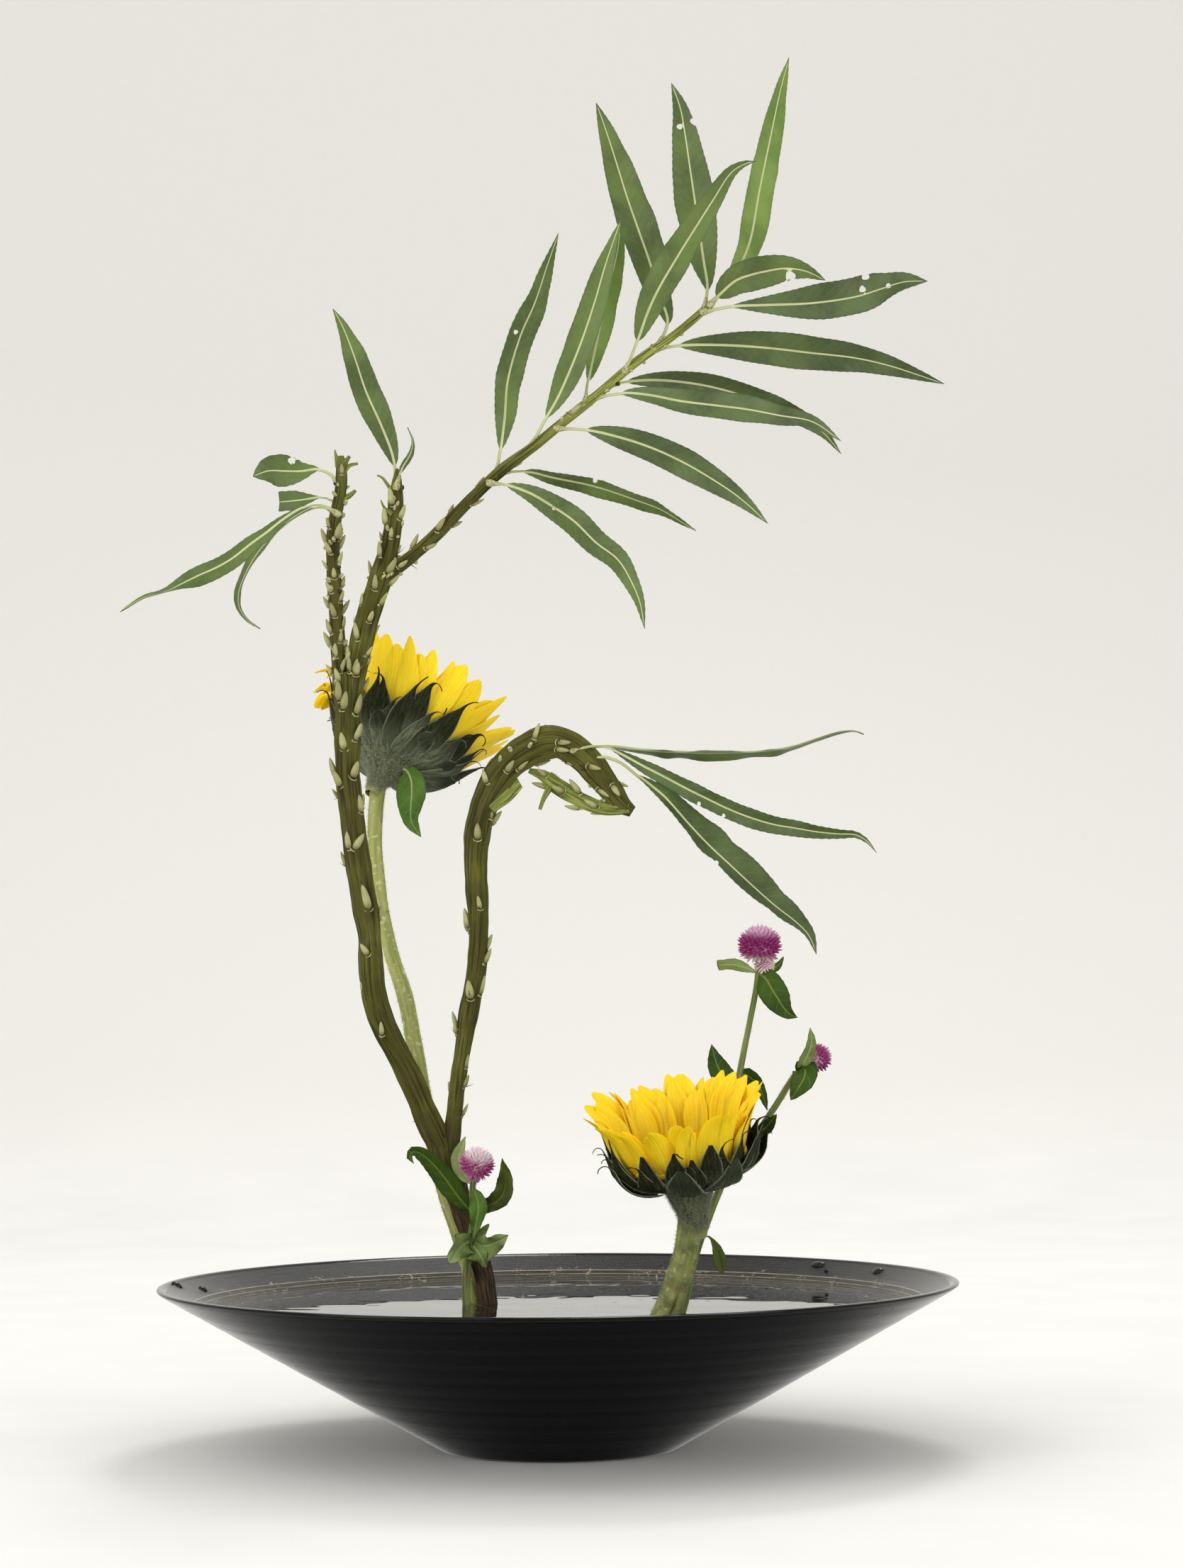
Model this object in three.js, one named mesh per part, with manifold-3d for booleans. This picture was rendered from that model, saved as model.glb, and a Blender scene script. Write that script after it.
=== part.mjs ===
// Ikebana arrangement: fan-tail willow, two sunflowers and three globe amaranth heads
// stand on a needle holder in a wide, conical bowl of water.
// Millimetres, +Z up. The origin is the centre of the bowl's base, and the front looks along +Y.
import * as THREE from "three";
import { mergeVertices } from "three/addons/utils/BufferGeometryUtils.js";
import Module from "manifold-3d";

const wasm = await Module();
wasm.setup();

// Bowl
const RIM_RADIUS = 180;
const BOWL_HEIGHT = 74;
const BASE_RADIUS = 52;
const WALL = 3.6;
const FLOOR = 4.5;
const FLOOR_RADIUS = 57;
const BOWL_SIDES = 40;

// Water and needle holder
const WATER_LEVEL = 63;
const GAP = 0.3;
const HOLDER_RADIUS = 50;
const HOLDER_BASE = 9.5;
const NEEDLE_LENGTH = 13;
const NEEDLE_RADIUS = 0.8;
const NEEDLE_PITCH = 12;
const FOOT_LEVEL = FLOOR + GAP + HOLDER_BASE + GAP;

// Blades: leaves, petals and bracts
const LEAF_THICKNESS = 0.7;
const STALK_RADIUS = 0.8;
const TIP_HALF = 0.4;

// Buds of the willow
const BUD_LENGTH = 8.4;
const BUD_RADIUS = 1.7;
const GOLDEN_ANGLE = THREE.MathUtils.degToRad(137.5);

// Sunflower heads, measured from the neck along the head's axis
const NECK_RADIUS = 5.2;
const RECEPTACLE_RADIUS = 31;
const RECEPTACLE_HEIGHT = 20;
const RING_INNER = 25.6;
const DISC_RADIUS = 25;

// The stems and leaves were measured in the front plane, y = 0, as seen from this eye.
// seen() slides such a point along its line of sight to its own depth y.
const EYE = new THREE.Vector3(17, -1500, 193);
const AWAY = new THREE.Vector3(0, 1, 0);

function seen(x, z, y = 0) {
  const reach = (y - EYE.y) / -EYE.y;
  return new THREE.Vector3(EYE.x + (x - EYE.x) * reach, y, EYE.z + (z - EYE.z) * reach);
}

// Solids

function solidOf(geometry) {
  const bare = geometry.clone();
  bare.deleteAttribute("normal");
  bare.deleteAttribute("uv");
  const merged = mergeVertices(bare, 1e-4);
  const vertProperties = new Float32Array(merged.attributes.position.array);
  const triVerts = new Uint32Array(merged.index.array);
  return new wasm.Manifold(new wasm.Mesh({ numProp: 3, vertProperties, triVerts }));
}

function solidFrom(spots, faces) {
  const vertProperties = new Float32Array(spots.flatMap((p) => [p.x, p.y, p.z]));
  const triVerts = new Uint32Array(faces.flat());
  return new wasm.Manifold(new wasm.Mesh({ numProp: 3, vertProperties, triVerts }));
}

function geometryOf(solid) {
  const mesh = solid.getMesh();
  return new THREE.BufferGeometry()
    .setAttribute("position", new THREE.BufferAttribute(new Float32Array(mesh.vertProperties), 3))
    .setIndex(new THREE.BufferAttribute(new Uint32Array(mesh.triVerts), 1));
}

function fuse(solids) {
  return solids.reduce((whole, next) => whole.add(next));
}

function placed(geometry, position, direction) {
  const turn = new THREE.Quaternion().setFromUnitVectors(new THREE.Vector3(0, 1, 0), direction);
  return solidOf(geometry.clone().applyQuaternion(turn).translate(position.x, position.y, position.z));
}

// A skin over rings of equal count, closed at each end by a fan from the ring's middle
function loft(rings) {
  const count = rings[0].length;
  const spots = rings.flat();
  const faces = [];
  for (let r = 0; r + 1 < rings.length; r++)
    for (let i = 0; i < count; i++) {
      const [a, b] = [r * count + i, r * count + ((i + 1) % count)];
      faces.push([a, b, b + count], [a, b + count, a + count]);
    }
  const middle = (ring) => ring.reduce((sum, p) => sum.add(p), new THREE.Vector3()).divideScalar(count);
  const last = (rings.length - 1) * count;
  const [foot, top] = [spots.length, spots.length + 1];
  spots.push(middle(rings[0]), middle(rings.at(-1)));
  for (let i = 0; i < count; i++) {
    const j = (i + 1) % count;
    faces.push([foot, j, i], [top, last + i, last + j]);
  }
  return solidFrom(spots, faces);
}

// A thin sheet with a thickness: rows of spots run along it, and face points out of its upper side.
// Both faces are split into triangles alike.
function sheet(rows, faces, thickness) {
  const [count, across] = [rows.length, rows[0].length];
  const at = (r, c, under) => (under * count + r) * across + c;
  const spots = [0, 1].flatMap((under) =>
    rows.flatMap((row, r) =>
      row.map((p) => p.clone().addScaledVector(faces[r], (0.5 - under) * thickness[r])),
    ),
  );
  const tris = [];
  const quad = (a, b, c, d) => tris.push([a, b, c], [a, c, d]);
  for (let r = 0; r + 1 < count; r++) {
    for (let c = 0; c + 1 < across; c++) {
      quad(at(r, c, 0), at(r, c + 1, 0), at(r + 1, c + 1, 0), at(r + 1, c, 0));
      tris.push([at(r, c, 1), at(r + 1, c + 1, 1), at(r, c + 1, 1)]);
      tris.push([at(r, c, 1), at(r + 1, c, 1), at(r + 1, c + 1, 1)]);
    }
    const end = across - 1;
    quad(at(r, 0, 0), at(r + 1, 0, 0), at(r + 1, 0, 1), at(r, 0, 1));
    quad(at(r, end, 0), at(r, end, 1), at(r + 1, end, 1), at(r + 1, end, 0));
  }
  for (let c = 0; c + 1 < across; c++) {
    const end = count - 1;
    quad(at(0, c, 0), at(0, c, 1), at(0, c + 1, 1), at(0, c + 1, 0));
    quad(at(end, c, 0), at(end, c + 1, 0), at(end, c + 1, 1), at(end, c, 1));
  }
  return solidFrom(spots, tris);
}

// A value read off evenly spaced keys
function keyed(keys, t) {
  const place = Math.min(Math.max(t, 0), 1) * (keys.length - 1);
  const low = Math.min(Math.floor(place), Math.max(keys.length - 2, 0));
  return keys.length === 1 ? keys[0] : THREE.MathUtils.lerp(keys[low], keys[low + 1], place - low);
}

// A repeatable series of numbers from 0 to 1
function dice(seed) {
  let state = seed;
  return () => (state = (state * 16807) % 2147483647) / 2147483647;
}

// Stems

// Stations are [x, z, y, width, depth] in the front plane; depth is the width where it is left out.
function stemLine(stations) {
  const spots = stations.map(([x, z, y]) => seen(x, z, y));
  const curve = new THREE.CatmullRomCurve3(spots, false, "centripetal");
  const share = (list, t) => {
    const place = curve.getUtoTmapping(t) * (list.length - 1);
    const low = Math.min(Math.floor(place), list.length - 2);
    return THREE.MathUtils.lerp(list[low], list[low + 1], place - low);
  };
  const widths = stations.map((s) => s[3]);
  const depths = stations.map((s) => s[4] ?? s[3]);
  const frameAt = (t) => {
    const tangent = curve.getTangentAt(t);
    const across = new THREE.Vector3().crossVectors(AWAY, tangent).normalize();
    const back = new THREE.Vector3().crossVectors(tangent, across);
    return { spot: curve.getPointAt(t), tangent, across, back, half: share(widths, t) / 2, deep: share(depths, t) / 2 };
  };
  return { length: curve.getLength(), frameAt };
}

function stem(stations, { sides = 8, stride = 12, grow = 0 } = {}) {
  const line = stemLine(stations);
  const steps = Math.max(2, Math.round(line.length / stride));
  const rings = [];
  for (let k = 0; k <= steps; k++) {
    const { spot, across, back, half, deep } = line.frameAt(k / steps);
    rings.push(
      Array.from({ length: sides }, (_, i) => {
        const angle = (2 * Math.PI * (i + 0.5)) / sides;
        return spot
          .clone()
          .addScaledVector(across, (half + grow) * Math.cos(angle))
          .addScaledVector(back, (deep + grow) * Math.sin(angle));
      }),
    );
  }
  return loft(rings);
}

// A cut stem stands just above the holder's plate
function cutLevel(solid) {
  const slab = new THREE.BoxGeometry(300, 300, 60).translate(0, 0, FOOT_LEVEL - 30);
  return solid.subtract(solidOf(slab));
}

// Blades

// A leaf follows its midrib from the stem to the tip. stalk is the length of its stalk, turn the
// angles in degrees by which it turns its face from the viewer, fold how far its edges rise.
function leaf({ path, depth, width, stalk = 0, turn = [15], fold = 0.25, widest = 0.42, rows = 7, blunt = 0, wave = 0.03, bites = [] }) {
  const spots = path.map(([x, z], i) => seen(x, z, keyed(depth, i / (path.length - 1))));
  const curve = new THREE.CatmullRomCurve3(spots, false, "centripetal");
  const stalkEnd = stalk / curve.getLength();
  const places = stalk ? [0, stalkEnd * 0.6] : [0];
  for (let k = stalk ? 0 : 1; k <= rows; k++) places.push(stalkEnd + (1 - stalkEnd) * (k / rows));
  const lines = [];
  const faces = [];
  const thickness = [];
  for (const [k, u] of places.entries()) {
    const t = Math.max(0, (u - stalkEnd) / (1 - stalkEnd));
    const tangent = curve.getTangentAt(u);
    const across = new THREE.Vector3().crossVectors(AWAY, tangent).normalize();
    across.applyAxisAngle(tangent, THREE.MathUtils.degToRad(keyed(turn, u)));
    const face = new THREE.Vector3().crossVectors(across, tangent);
    const bulge = Math.sin(Math.PI * Math.min(t, 1 - blunt) ** (Math.log(0.5) / Math.log(widest))) ** 0.85;
    const uneven = 1 + wave * (k % 2 ? 1 : -1);
    const half = Math.max(stalk && t === 0 ? STALK_RADIUS : TIP_HALF, (width / 2) * bulge * uneven);
    const spot = curve.getPointAt(u);
    lines.push(
      [-1, 0, 1].map((side) =>
        spot.clone().addScaledVector(across, side * half).addScaledVector(face, fold * half * Math.abs(side)),
      ),
    );
    faces.push(face);
    thickness.push(stalk && u <= stalkEnd ? 2 * STALK_RADIUS : LEAF_THICKNESS);
  }
  const whole = sheet(lines, faces, thickness);
  return bites.reduce((left, [x, z, radius]) => left.subtract(biteAt(x, z, radius, depth)), whole);
}

// A hole or a notch that an insect ate, straight through the blade along the line of sight
function biteAt(x, z, radius, depth) {
  const spot = seen(x, z, (depth[0] + depth.at(-1)) / 2);
  const length = 60 + Math.abs(depth[0] - depth.at(-1));
  const along = spot.clone().sub(EYE).normalize();
  return placed(new THREE.CylinderGeometry(radius, radius, length, 6), spot, along);
}

// Bowl, water and needle holder

const wallSlope = (RIM_RADIUS - BASE_RADIUS) / BOWL_HEIGHT;
const innerRadiusAt = (z) => FLOOR_RADIUS + ((z - FLOOR) * (RIM_RADIUS - WALL - FLOOR_RADIUS)) / (BOWL_HEIGHT - FLOOR);

function lathe(profile, sides) {
  const turned = new THREE.LatheGeometry(profile.map(([r, z]) => new THREE.Vector2(r, z)), sides);
  return solidOf(turned.rotateX(Math.PI / 2));
}

function bowl() {
  return lathe(
    [
      [0, 0],
      [BASE_RADIUS, 0],
      [BASE_RADIUS + 2.6, 1],
      [BASE_RADIUS + 4 * wallSlope, 3.4],
      [RIM_RADIUS, BOWL_HEIGHT - 1.2],
      [RIM_RADIUS - 0.8, BOWL_HEIGHT],
      [RIM_RADIUS - WALL + 0.4, BOWL_HEIGHT],
      [RIM_RADIUS - WALL, BOWL_HEIGHT - 0.8],
      [FLOOR_RADIUS + 2.5, FLOOR + 1.2],
      [FLOOR_RADIUS, FLOOR],
      [0, FLOOR],
    ],
    BOWL_SIDES,
  );
}

function water(dips) {
  const clear = GAP + 0.5;
  const body = lathe(
    [
      [0, FLOOR + GAP],
      [FLOOR_RADIUS - clear, FLOOR + GAP],
      [FLOOR_RADIUS + 2.5 - clear, FLOOR + GAP + 1.2],
      [innerRadiusAt(WATER_LEVEL) - clear, WATER_LEVEL],
      [0, WATER_LEVEL],
    ],
    BOWL_SIDES,
  );
  const room = HOLDER_BASE + NEEDLE_LENGTH + 4 * GAP;
  const recess = lathe(
    [
      [0, FLOOR],
      [HOLDER_RADIUS + GAP, FLOOR],
      [HOLDER_RADIUS + GAP, FLOOR + room],
      [0, FLOOR + room],
    ],
    24,
  );
  return dips.reduce((left, dip) => left.subtract(dip), body.subtract(recess));
}

// Needles stand on a six-cornered net, except where a stem is stuck on them
function needleHolder(feet) {
  const plate = lathe(
    [
      [0, FLOOR + GAP],
      [HOLDER_RADIUS - 1, FLOOR + GAP],
      [HOLDER_RADIUS, FLOOR + GAP + 1],
      [HOLDER_RADIUS, FLOOR + GAP + HOLDER_BASE - 1],
      [HOLDER_RADIUS - 1, FLOOR + GAP + HOLDER_BASE],
      [0, FLOOR + GAP + HOLDER_BASE],
    ],
    24,
  );
  const sunk = 2;
  const needle = new THREE.ConeGeometry(NEEDLE_RADIUS, NEEDLE_LENGTH + sunk, 3);
  const middle = FLOOR + GAP + HOLDER_BASE + (NEEDLE_LENGTH - sunk) / 2;
  const up = new THREE.Vector3(0, 0, 1);
  const needles = [];
  const lines = Math.floor(HOLDER_RADIUS / (NEEDLE_PITCH * Math.sin(Math.PI / 3)));
  for (let row = -lines; row <= lines; row++)
    for (let column = -lines - 1; column <= lines + 1; column++) {
      const spot = new THREE.Vector3(
        (column + (row % 2 ? 0.5 : 0)) * NEEDLE_PITCH,
        row * NEEDLE_PITCH * Math.sin(Math.PI / 3),
        middle,
      );
      const free = feet.every(([x, y, radius]) => Math.hypot(spot.x - x, spot.y - y) > radius + NEEDLE_RADIUS + 1);
      if (free && Math.hypot(spot.x, spot.y) < HOLDER_RADIUS - 4) needles.push(placed(needle, spot, up));
    }
  return fuse([plate, ...needles]);
}

// Willow

const WILLOW_LIMBS = {
  trunk: [
    [-17, 12, 18, 7.5], [-24, 38, 17, 7.5], [-31.5, 63, 16, 7.5], [-34, 78, 15.5, 8], [-38.5, 92, 15, 8.5],
    [-43, 105, 14, 9], [-47, 118, 13, 10.5, 9.5], [-50, 130, 12, 12.5, 10], [-52, 139, 11.5, 12, 9],
  ],
  left: [
    [-47, 117, 13, 8.5], [-53, 136, 11.5, 10], [-59, 149, 11, 10], [-65, 163.5, 10, 9.5], [-72, 177.5, 9.5, 9.5],
    [-78.5, 190.5, 9, 10], [-82.3, 203, 8.5, 10.5], [-83.8, 217, 8, 10], [-84.6, 232, 7.5, 9.7],
    [-87.5, 250, 7, 11], [-90.7, 270, 6.5, 10.5], [-93, 288, 6, 10.5], [-94.6, 303, 5.5, 10.5],
    [-94.8, 322, 5, 11, 8.5], [-94.5, 340, 5, 12.5, 8.5], [-94.5, 351, 5, 12.5, 7],
  ],
  leftHigh: [
    [-96.5, 336, 5, 7, 6.5], [-98, 352, 5, 6.2], [-98.8, 368, 5, 5.8], [-99.5, 385, 5, 5.8], [-100.3, 400, 5, 5.6],
    [-100.3, 413, 5, 5.6], [-99, 424, 5, 5.4], [-97, 434, 5, 5], [-96.5, 443, 5, 5], [-97, 451, 5, 3],
  ],
  leftLow: [
    [-92.5, 336, 5, 7.5, 6.5], [-90, 353, 5, 9, 7.5], [-87.5, 366, 5, 9, 7.5], [-84.5, 378, 5, 9.5, 7.5],
    [-79.8, 392, 5, 9, 7], [-75, 409, 5, 8, 7], [-72, 427, 5, 6, 6], [-71.3, 440, 5, 4.5],
  ],
  twig: [
    [-81, 387, 5, 5.5], [-75, 396, 5, 6.5], [-66, 403.5, 4.5, 6.2], [-55, 413, 4, 6], [-38, 430, 3, 5.7],
    [-23, 444, 2, 5.5], [-8, 455, 1, 5.2], [8, 468, 0, 4.8], [22, 479, 0, 4.5], [40, 494, 0, 4],
    [56, 505, 0, 3.8], [66, 513, 0, 3.6], [74.5, 520.5, 0, 3.4],
  ],
  right: [
    [-49, 122, 12, 7.5], [-47.5, 140, 11, 7.5], [-46.4, 150, 10, 7.2], [-45.2, 162, 9, 6.6], [-43.8, 172, 8, 6.7],
    [-42, 184, 7, 7.3], [-40, 197, 6, 8.6], [-37.3, 210, 5, 8.6], [-35.7, 225, 4, 8.2], [-35.4, 240, 3, 8.6],
    [-36, 255, 2, 9.4], [-35.9, 268, 1, 9.6], [-34.8, 278, 1, 10.5, 9.5], [-32.5, 287, 0, 11, 9],
    [-28, 297, 0, 12, 8.5], [-22, 306, 0, 13, 8], [-14, 312.5, 0, 13.5, 8], [-5, 316.8, 0, 13.5, 8],
    [2, 317.2, 0, 13, 8], [8, 314.5, 0, 12.8, 7.5], [14, 309.5, 0, 12, 7.5], [20, 302.5, 0, 11, 7],
    [26, 295, 0, 10, 6.5], [31, 289, 0, 7.5, 5.5], [35.5, 286, 0, 4.5, 4],
  ],
  tornStrip: [
    [34, 287.5, -0.5, 5, 4], [26, 287.3, -0.5, 5.8, 3.2], [19, 288.5, -0.5, 6, 3], [12, 291.5, -0.5, 7.2, 3],
    [5, 295.5, 0, 7.6, 3], [-1, 299.5, 0, 6.2, 3], [-5, 302.8, 0, 5, 2.6], [-11.5, 305.3, 0, 2.4, 2],
  ],
  tornFlap: [[-30, 289, -1, 7, 6], [-24, 294.5, -1, 9, 4], [-19.5, 298.5, -1, 9, 3], [-16, 300.5, -1, 6, 2]],
  peg: [[-2, 297.5, -1, 2.4], [-5, 292, -1.5, 1.6], [-6.6, 287.5, -2, 1.3]],
  topHorn: [[-97, 444, 5, 3.5], [-95, 448, 4.5, 2.6], [-92.8, 451, 4, 1.4]],
  sideHorn: [[-96.5, 442, 5, 3], [-93, 446.5, 4, 2], [-89, 447.5, 3.5, 1.2]],
  lowHorn: [[-96.5, 431, 5, 3], [-93, 432.5, 4, 2.4], [-90, 435, 3.5, 1.4]],
};

// Where buds sit: from and to along the limb in mm, and the space from one bud to the next
const BUD_RUNS = [
  { limb: "left", from: 20, to: 125, space: 17, seed: 11 },
  { limb: "left", from: 128, to: 238, space: 8, seed: 12 },
  { limb: "leftHigh", from: 14, to: 108, space: 5.6, seed: 13 },
  { limb: "leftLow", from: 12, to: 98, space: 6.6, seed: 14 },
  { limb: "twig", from: 10, to: 196, space: 9, seed: 15 },
  { limb: "right", from: 28, to: 160, space: 12, seed: 16 },
  { limb: "right", from: 162, to: 258, space: 6.6, seed: 17 },
  { limb: "tornStrip", from: 12, to: 44, space: 7, seed: 18 },
];

// A bud is a three-sided spindle that starts under the bark and leans a little away from the stem
function bud(spot, direction, side, length, radius) {
  const other = new THREE.Vector3().crossVectors(direction, side);
  const ring = (along, size) =>
    [0, 1, 2].map((i) =>
      spot
        .clone()
        .addScaledVector(direction, along * length)
        .addScaledVector(side, size * Math.cos((i * 2 * Math.PI) / 3))
        .addScaledVector(other, size * Math.sin((i * 2 * Math.PI) / 3)),
    );
  const spots = [spot, ...ring(0.4, radius), spot.clone().addScaledVector(direction, length)];
  const faces = [1, 2, 3].flatMap((i) => {
    const j = (i % 3) + 1;
    return [[0, j, i], [i, j, 4]];
  });
  return solidFrom(spots, faces);
}

function budsOf({ limb, from, to, space, seed }, leafFeet) {
  const line = stemLine(WILLOW_LIMBS[limb]);
  const roll = dice(seed);
  const buds = [];
  for (let k = 0; from + k * space < to; k++) {
    const along = from + (k + 0.3 * (roll() - 0.5)) * space;
    const angle = k * GOLDEN_ANGLE + 0.4 * (roll() - 0.5);
    const length = BUD_LENGTH * (0.85 + 0.3 * roll());
    const { spot, tangent, across, back, half, deep } = line.frameAt(Math.min(along / line.length, 1));
    const out = across.clone().multiplyScalar(Math.cos(angle)).addScaledVector(back, Math.sin(angle));
    const reach = 0.87 * Math.hypot(half * Math.cos(angle), deep * Math.sin(angle)) - 1;
    const foot = spot.addScaledVector(out, reach);
    if (leafFeet.some((p) => p.distanceTo(foot) < 8)) continue;
    const lean = tangent.clone().addScaledVector(out, 0.42).normalize();
    const side = new THREE.Vector3().crossVectors(lean, out).normalize();
    buds.push(bud(foot, lean, side, length, Math.min(BUD_RADIUS, 0.42 * half)));
  }
  return buds;
}

// Every leaf of the willow, from the left limb's top round to the bent right limb
const WILLOW_LEAVES = [
  { path: [[-26, 441], [-24, 450], [-21.5, 468], [-20, 485], [-14, 506], [-7, 522], [-1, 540], [4, 554]],
    depth: [2, 0, -14, -30], width: 13.2, stalk: 12, turn: [10, 35] },
  { path: [[-9, 455], [-4, 465], [3, 477], [13, 500], [20, 520], [26, 540], [33, 560]],
    depth: [1, -6, -14], width: 13.5, stalk: 14, turn: [-5, -15] },
  { path: [[15.5, 474], [17, 484], [20.5, 500], [26, 525], [31, 545], [33, 562]],
    depth: [0, 14, 34], width: 12, stalk: 13, turn: [25, 30] },
  { path: [[49, 500], [54, 512], [50, 525], [46, 540], [41, 555], [36, 570], [31, 587], [27, 600], [22, 615]],
    depth: [1, 10, 26], width: 18, stalk: 12, turn: [5, 10] },
  { path: [[71, 517.5], [72.5, 528], [71, 540], [69, 555], [67, 570], [65, 585], [63, 600], [61, 612], [57, 624]],
    depth: [1, 3, 8], width: 18, stalk: 9, turn: [0, -10], bites: [[60.5, 603.5, 1.4], [67.5, 606, 2]] },
  { path: [[34, 489], [38, 498], [41, 506], [45, 517], [50, 527.5], [59.5, 543.5], [68, 557], [76, 569.5],
      [84, 581.5], [90, 585.5], [96, 587]],
    depth: [-1, -14, -34], width: 14, stalk: 15, turn: [25, 15, 20], widest: 0.36 },
  { path: [[73.5, 519.5], [82, 530], [88.5, 540], [92.5, 550], [97, 573], [102.2, 597], [107.3, 620], [111.5, 635.5]],
    depth: [1.3, 16, 38], width: 14, stalk: 12, turn: [15, 25], widest: 0.4 },
  { path: [[73.5, 519.5], [79, 525.5], [86, 531.3], [93, 533.8], [99, 535.2], [108.6, 536.6], [118, 535.2], [127, 530.8]],
    depth: [-1.3, -7, -14], width: 15, stalk: 5, turn: [10, 20], widest: 0.36, bites: [[110.8, 533, 2.3]] },
  { path: [[70, 516.5], [84, 519], [100, 519.5], [121, 520.2], [141, 523], [153.5, 526.8], [163, 529.6], [174, 530]],
    depth: [-1, -18, -44], width: 17, stalk: 12, turn: [10, -10], widest: 0.56,
    bites: [[144, 526.5, 1.6], [145.5, 532.5, 1.8]] },
  { path: [[47, 499], [60, 501], [80, 501], [100, 499.5], [120, 497], [140, 494.5], [155, 491], [170, 486], [181, 482]],
    depth: [0, 4, 12], width: 15.5, stalk: 12, turn: [10, 20] },
  { path: [[19.5, 477], [33, 479], [45, 478], [60, 475], [75, 473], [90, 471], [105, 468], [120, 465], [133, 456]],
    depth: [0, -16, -46], width: 12.5, stalk: 13, turn: [-15, 10] },
  { path: [[26, 482.5], [36, 484.5], [50, 485], [70, 482.5], [90, 477], [110, 469.5], [125, 460], [133, 450]],
    depth: [1, 18, 40], width: 12, stalk: 10, turn: [15, 30] },
  { path: [[2, 463], [17, 462], [30, 459], [45, 454], [60, 447], [75, 438], [85, 431], [93, 424], [99, 418]],
    depth: [-1, -10, -26], width: 13.5, stalk: 14, turn: [10, 20] },
  { path: [[-25, 442.5], [-10, 443], [0, 440.5], [20, 436], [40, 429], [50, 425], [66, 415]],
    depth: [3, 16, 34], width: 10, stalk: 12, turn: [45, 50] },
  { path: [[-29, 438], [-21, 437], [-10, 433], [0, 427], [10, 420], [20, 410], [30, 402], [36, 392], [40, 382], [42, 370]],
    depth: [0, -10, -26], width: 12, stalk: 8, turn: [0, 15] },
  { path: [[-71.3, 437], [-72.8, 450], [-78.2, 465], [-85.2, 481], [-90.6, 497.5], [-95.8, 511], [-100.2, 519.5]],
    depth: [6, 10, 20], width: 13.5, stalk: 9, turn: [0, 25] },
  { path: [[-71.5, 436], [-69, 445], [-65, 452], [-64, 458], [-66, 464]],
    depth: [3.5, 0, -4], width: 4, stalk: 6, turn: [30, 80], rows: 4 },
  { path: [[-97.5, 437], [-101.5, 442.5], [-107.5, 445], [-115, 444.2], [-122, 444.3], [-130, 444.5], [-137.2, 442]],
    depth: [5, 2, -8], width: 14.5, stalk: 11, turn: [0, -10], rows: 6, widest: 0.6, bites: [[-119.3, 449, 1.8]] },
  { path: [[-97.5, 426], [-100.5, 430], [-105, 432], [-112, 431.2], [-118, 430.5], [-125, 430]],
    depth: [7, 10, 16], width: 9, stalk: 9, turn: [20, 0], rows: 5, widest: 0.7, blunt: 0.3 },
  { path: [[-98, 424], [-104, 428], [-110, 428.5], [-116, 426.5], [-124, 421.5], [-131, 416], [-138, 411],
      [-147, 404], [-154, 400], [-162, 396.5], [-170, 392.5], [-176, 389.5], [-181, 388], [-188, 386], [-198, 380]],
    depth: [3, -8, -28], width: 8.8, stalk: 13, turn: [65, 30, 10, 10, 10, 75, 40], rows: 12, widest: 0.55 },
  { path: [[-98, 423], [-104, 427.2], [-110, 427], [-118, 423], [-124, 418.5], [-130, 412.5], [-136, 405],
      [-140.5, 397], [-143.5, 389], [-143.5, 382], [-140, 376], [-134, 371.5]],
    depth: [7, 16, 26], width: 9, stalk: 13, turn: [70, 55, 60], rows: 11 },
  { path: [[8, 315.5], [25, 315.8], [40, 314.3], [60, 313], [80, 312.8], [95, 313.2], [108, 315], [120, 318.8],
      [130, 321.7], [137, 322.2], [141.5, 320.5]],
    depth: [2, 4, -10], width: 12, stalk: 17, turn: [80, 76, 88], rows: 11 },
  { path: [[8, 314], [18, 316.2], [26, 315], [33, 311.5], [41, 307], [50, 302.3], [60, 296.8], [70, 291.7],
      [80, 286.8], [90, 282.8], [100, 279.8], [110, 278], [120, 276.2], [130, 275.2], [137, 274.8], [142, 272],
      [146.5, 266.5]],
    depth: [-2, -14, -34], width: 9.2, stalk: 17, turn: [25, 20], rows: 11, widest: 0.45 },
  { path: [[14, 309.5], [22, 311.3], [30, 308.8], [38, 302.6], [45, 297], [50, 292.7], [55, 287.2], [61, 280.2],
      [70, 270.5], [80, 261], [90, 251.5], [100, 242.5], [110, 234.5], [115, 229], [118.5, 220.5]],
    depth: [0, -10, -26], width: 16, stalk: 26, turn: [0, -35, -32, -25], fold: 0.32, widest: 0.5 },
];

// The forked main limbs are rounder than the twigs
function limbShape(name) {
  if (["trunk", "left", "right"].includes(name)) return { sides: 8, stride: name === "right" ? 13 : 17 };
  return { sides: 6, stride: name === "twig" ? 20 : 14 };
}

function willowStem() {
  const limbs = Object.entries(WILLOW_LIMBS).map(([name, stations]) => stem(stations, limbShape(name)));
  const feet = WILLOW_LEAVES.map(({ path, depth }) => seen(path[0][0], path[0][1], depth[0]));
  return cutLevel(fuse([...limbs, ...BUD_RUNS.flatMap((run) => budsOf(run, feet))]));
}

// Sunflowers

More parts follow.
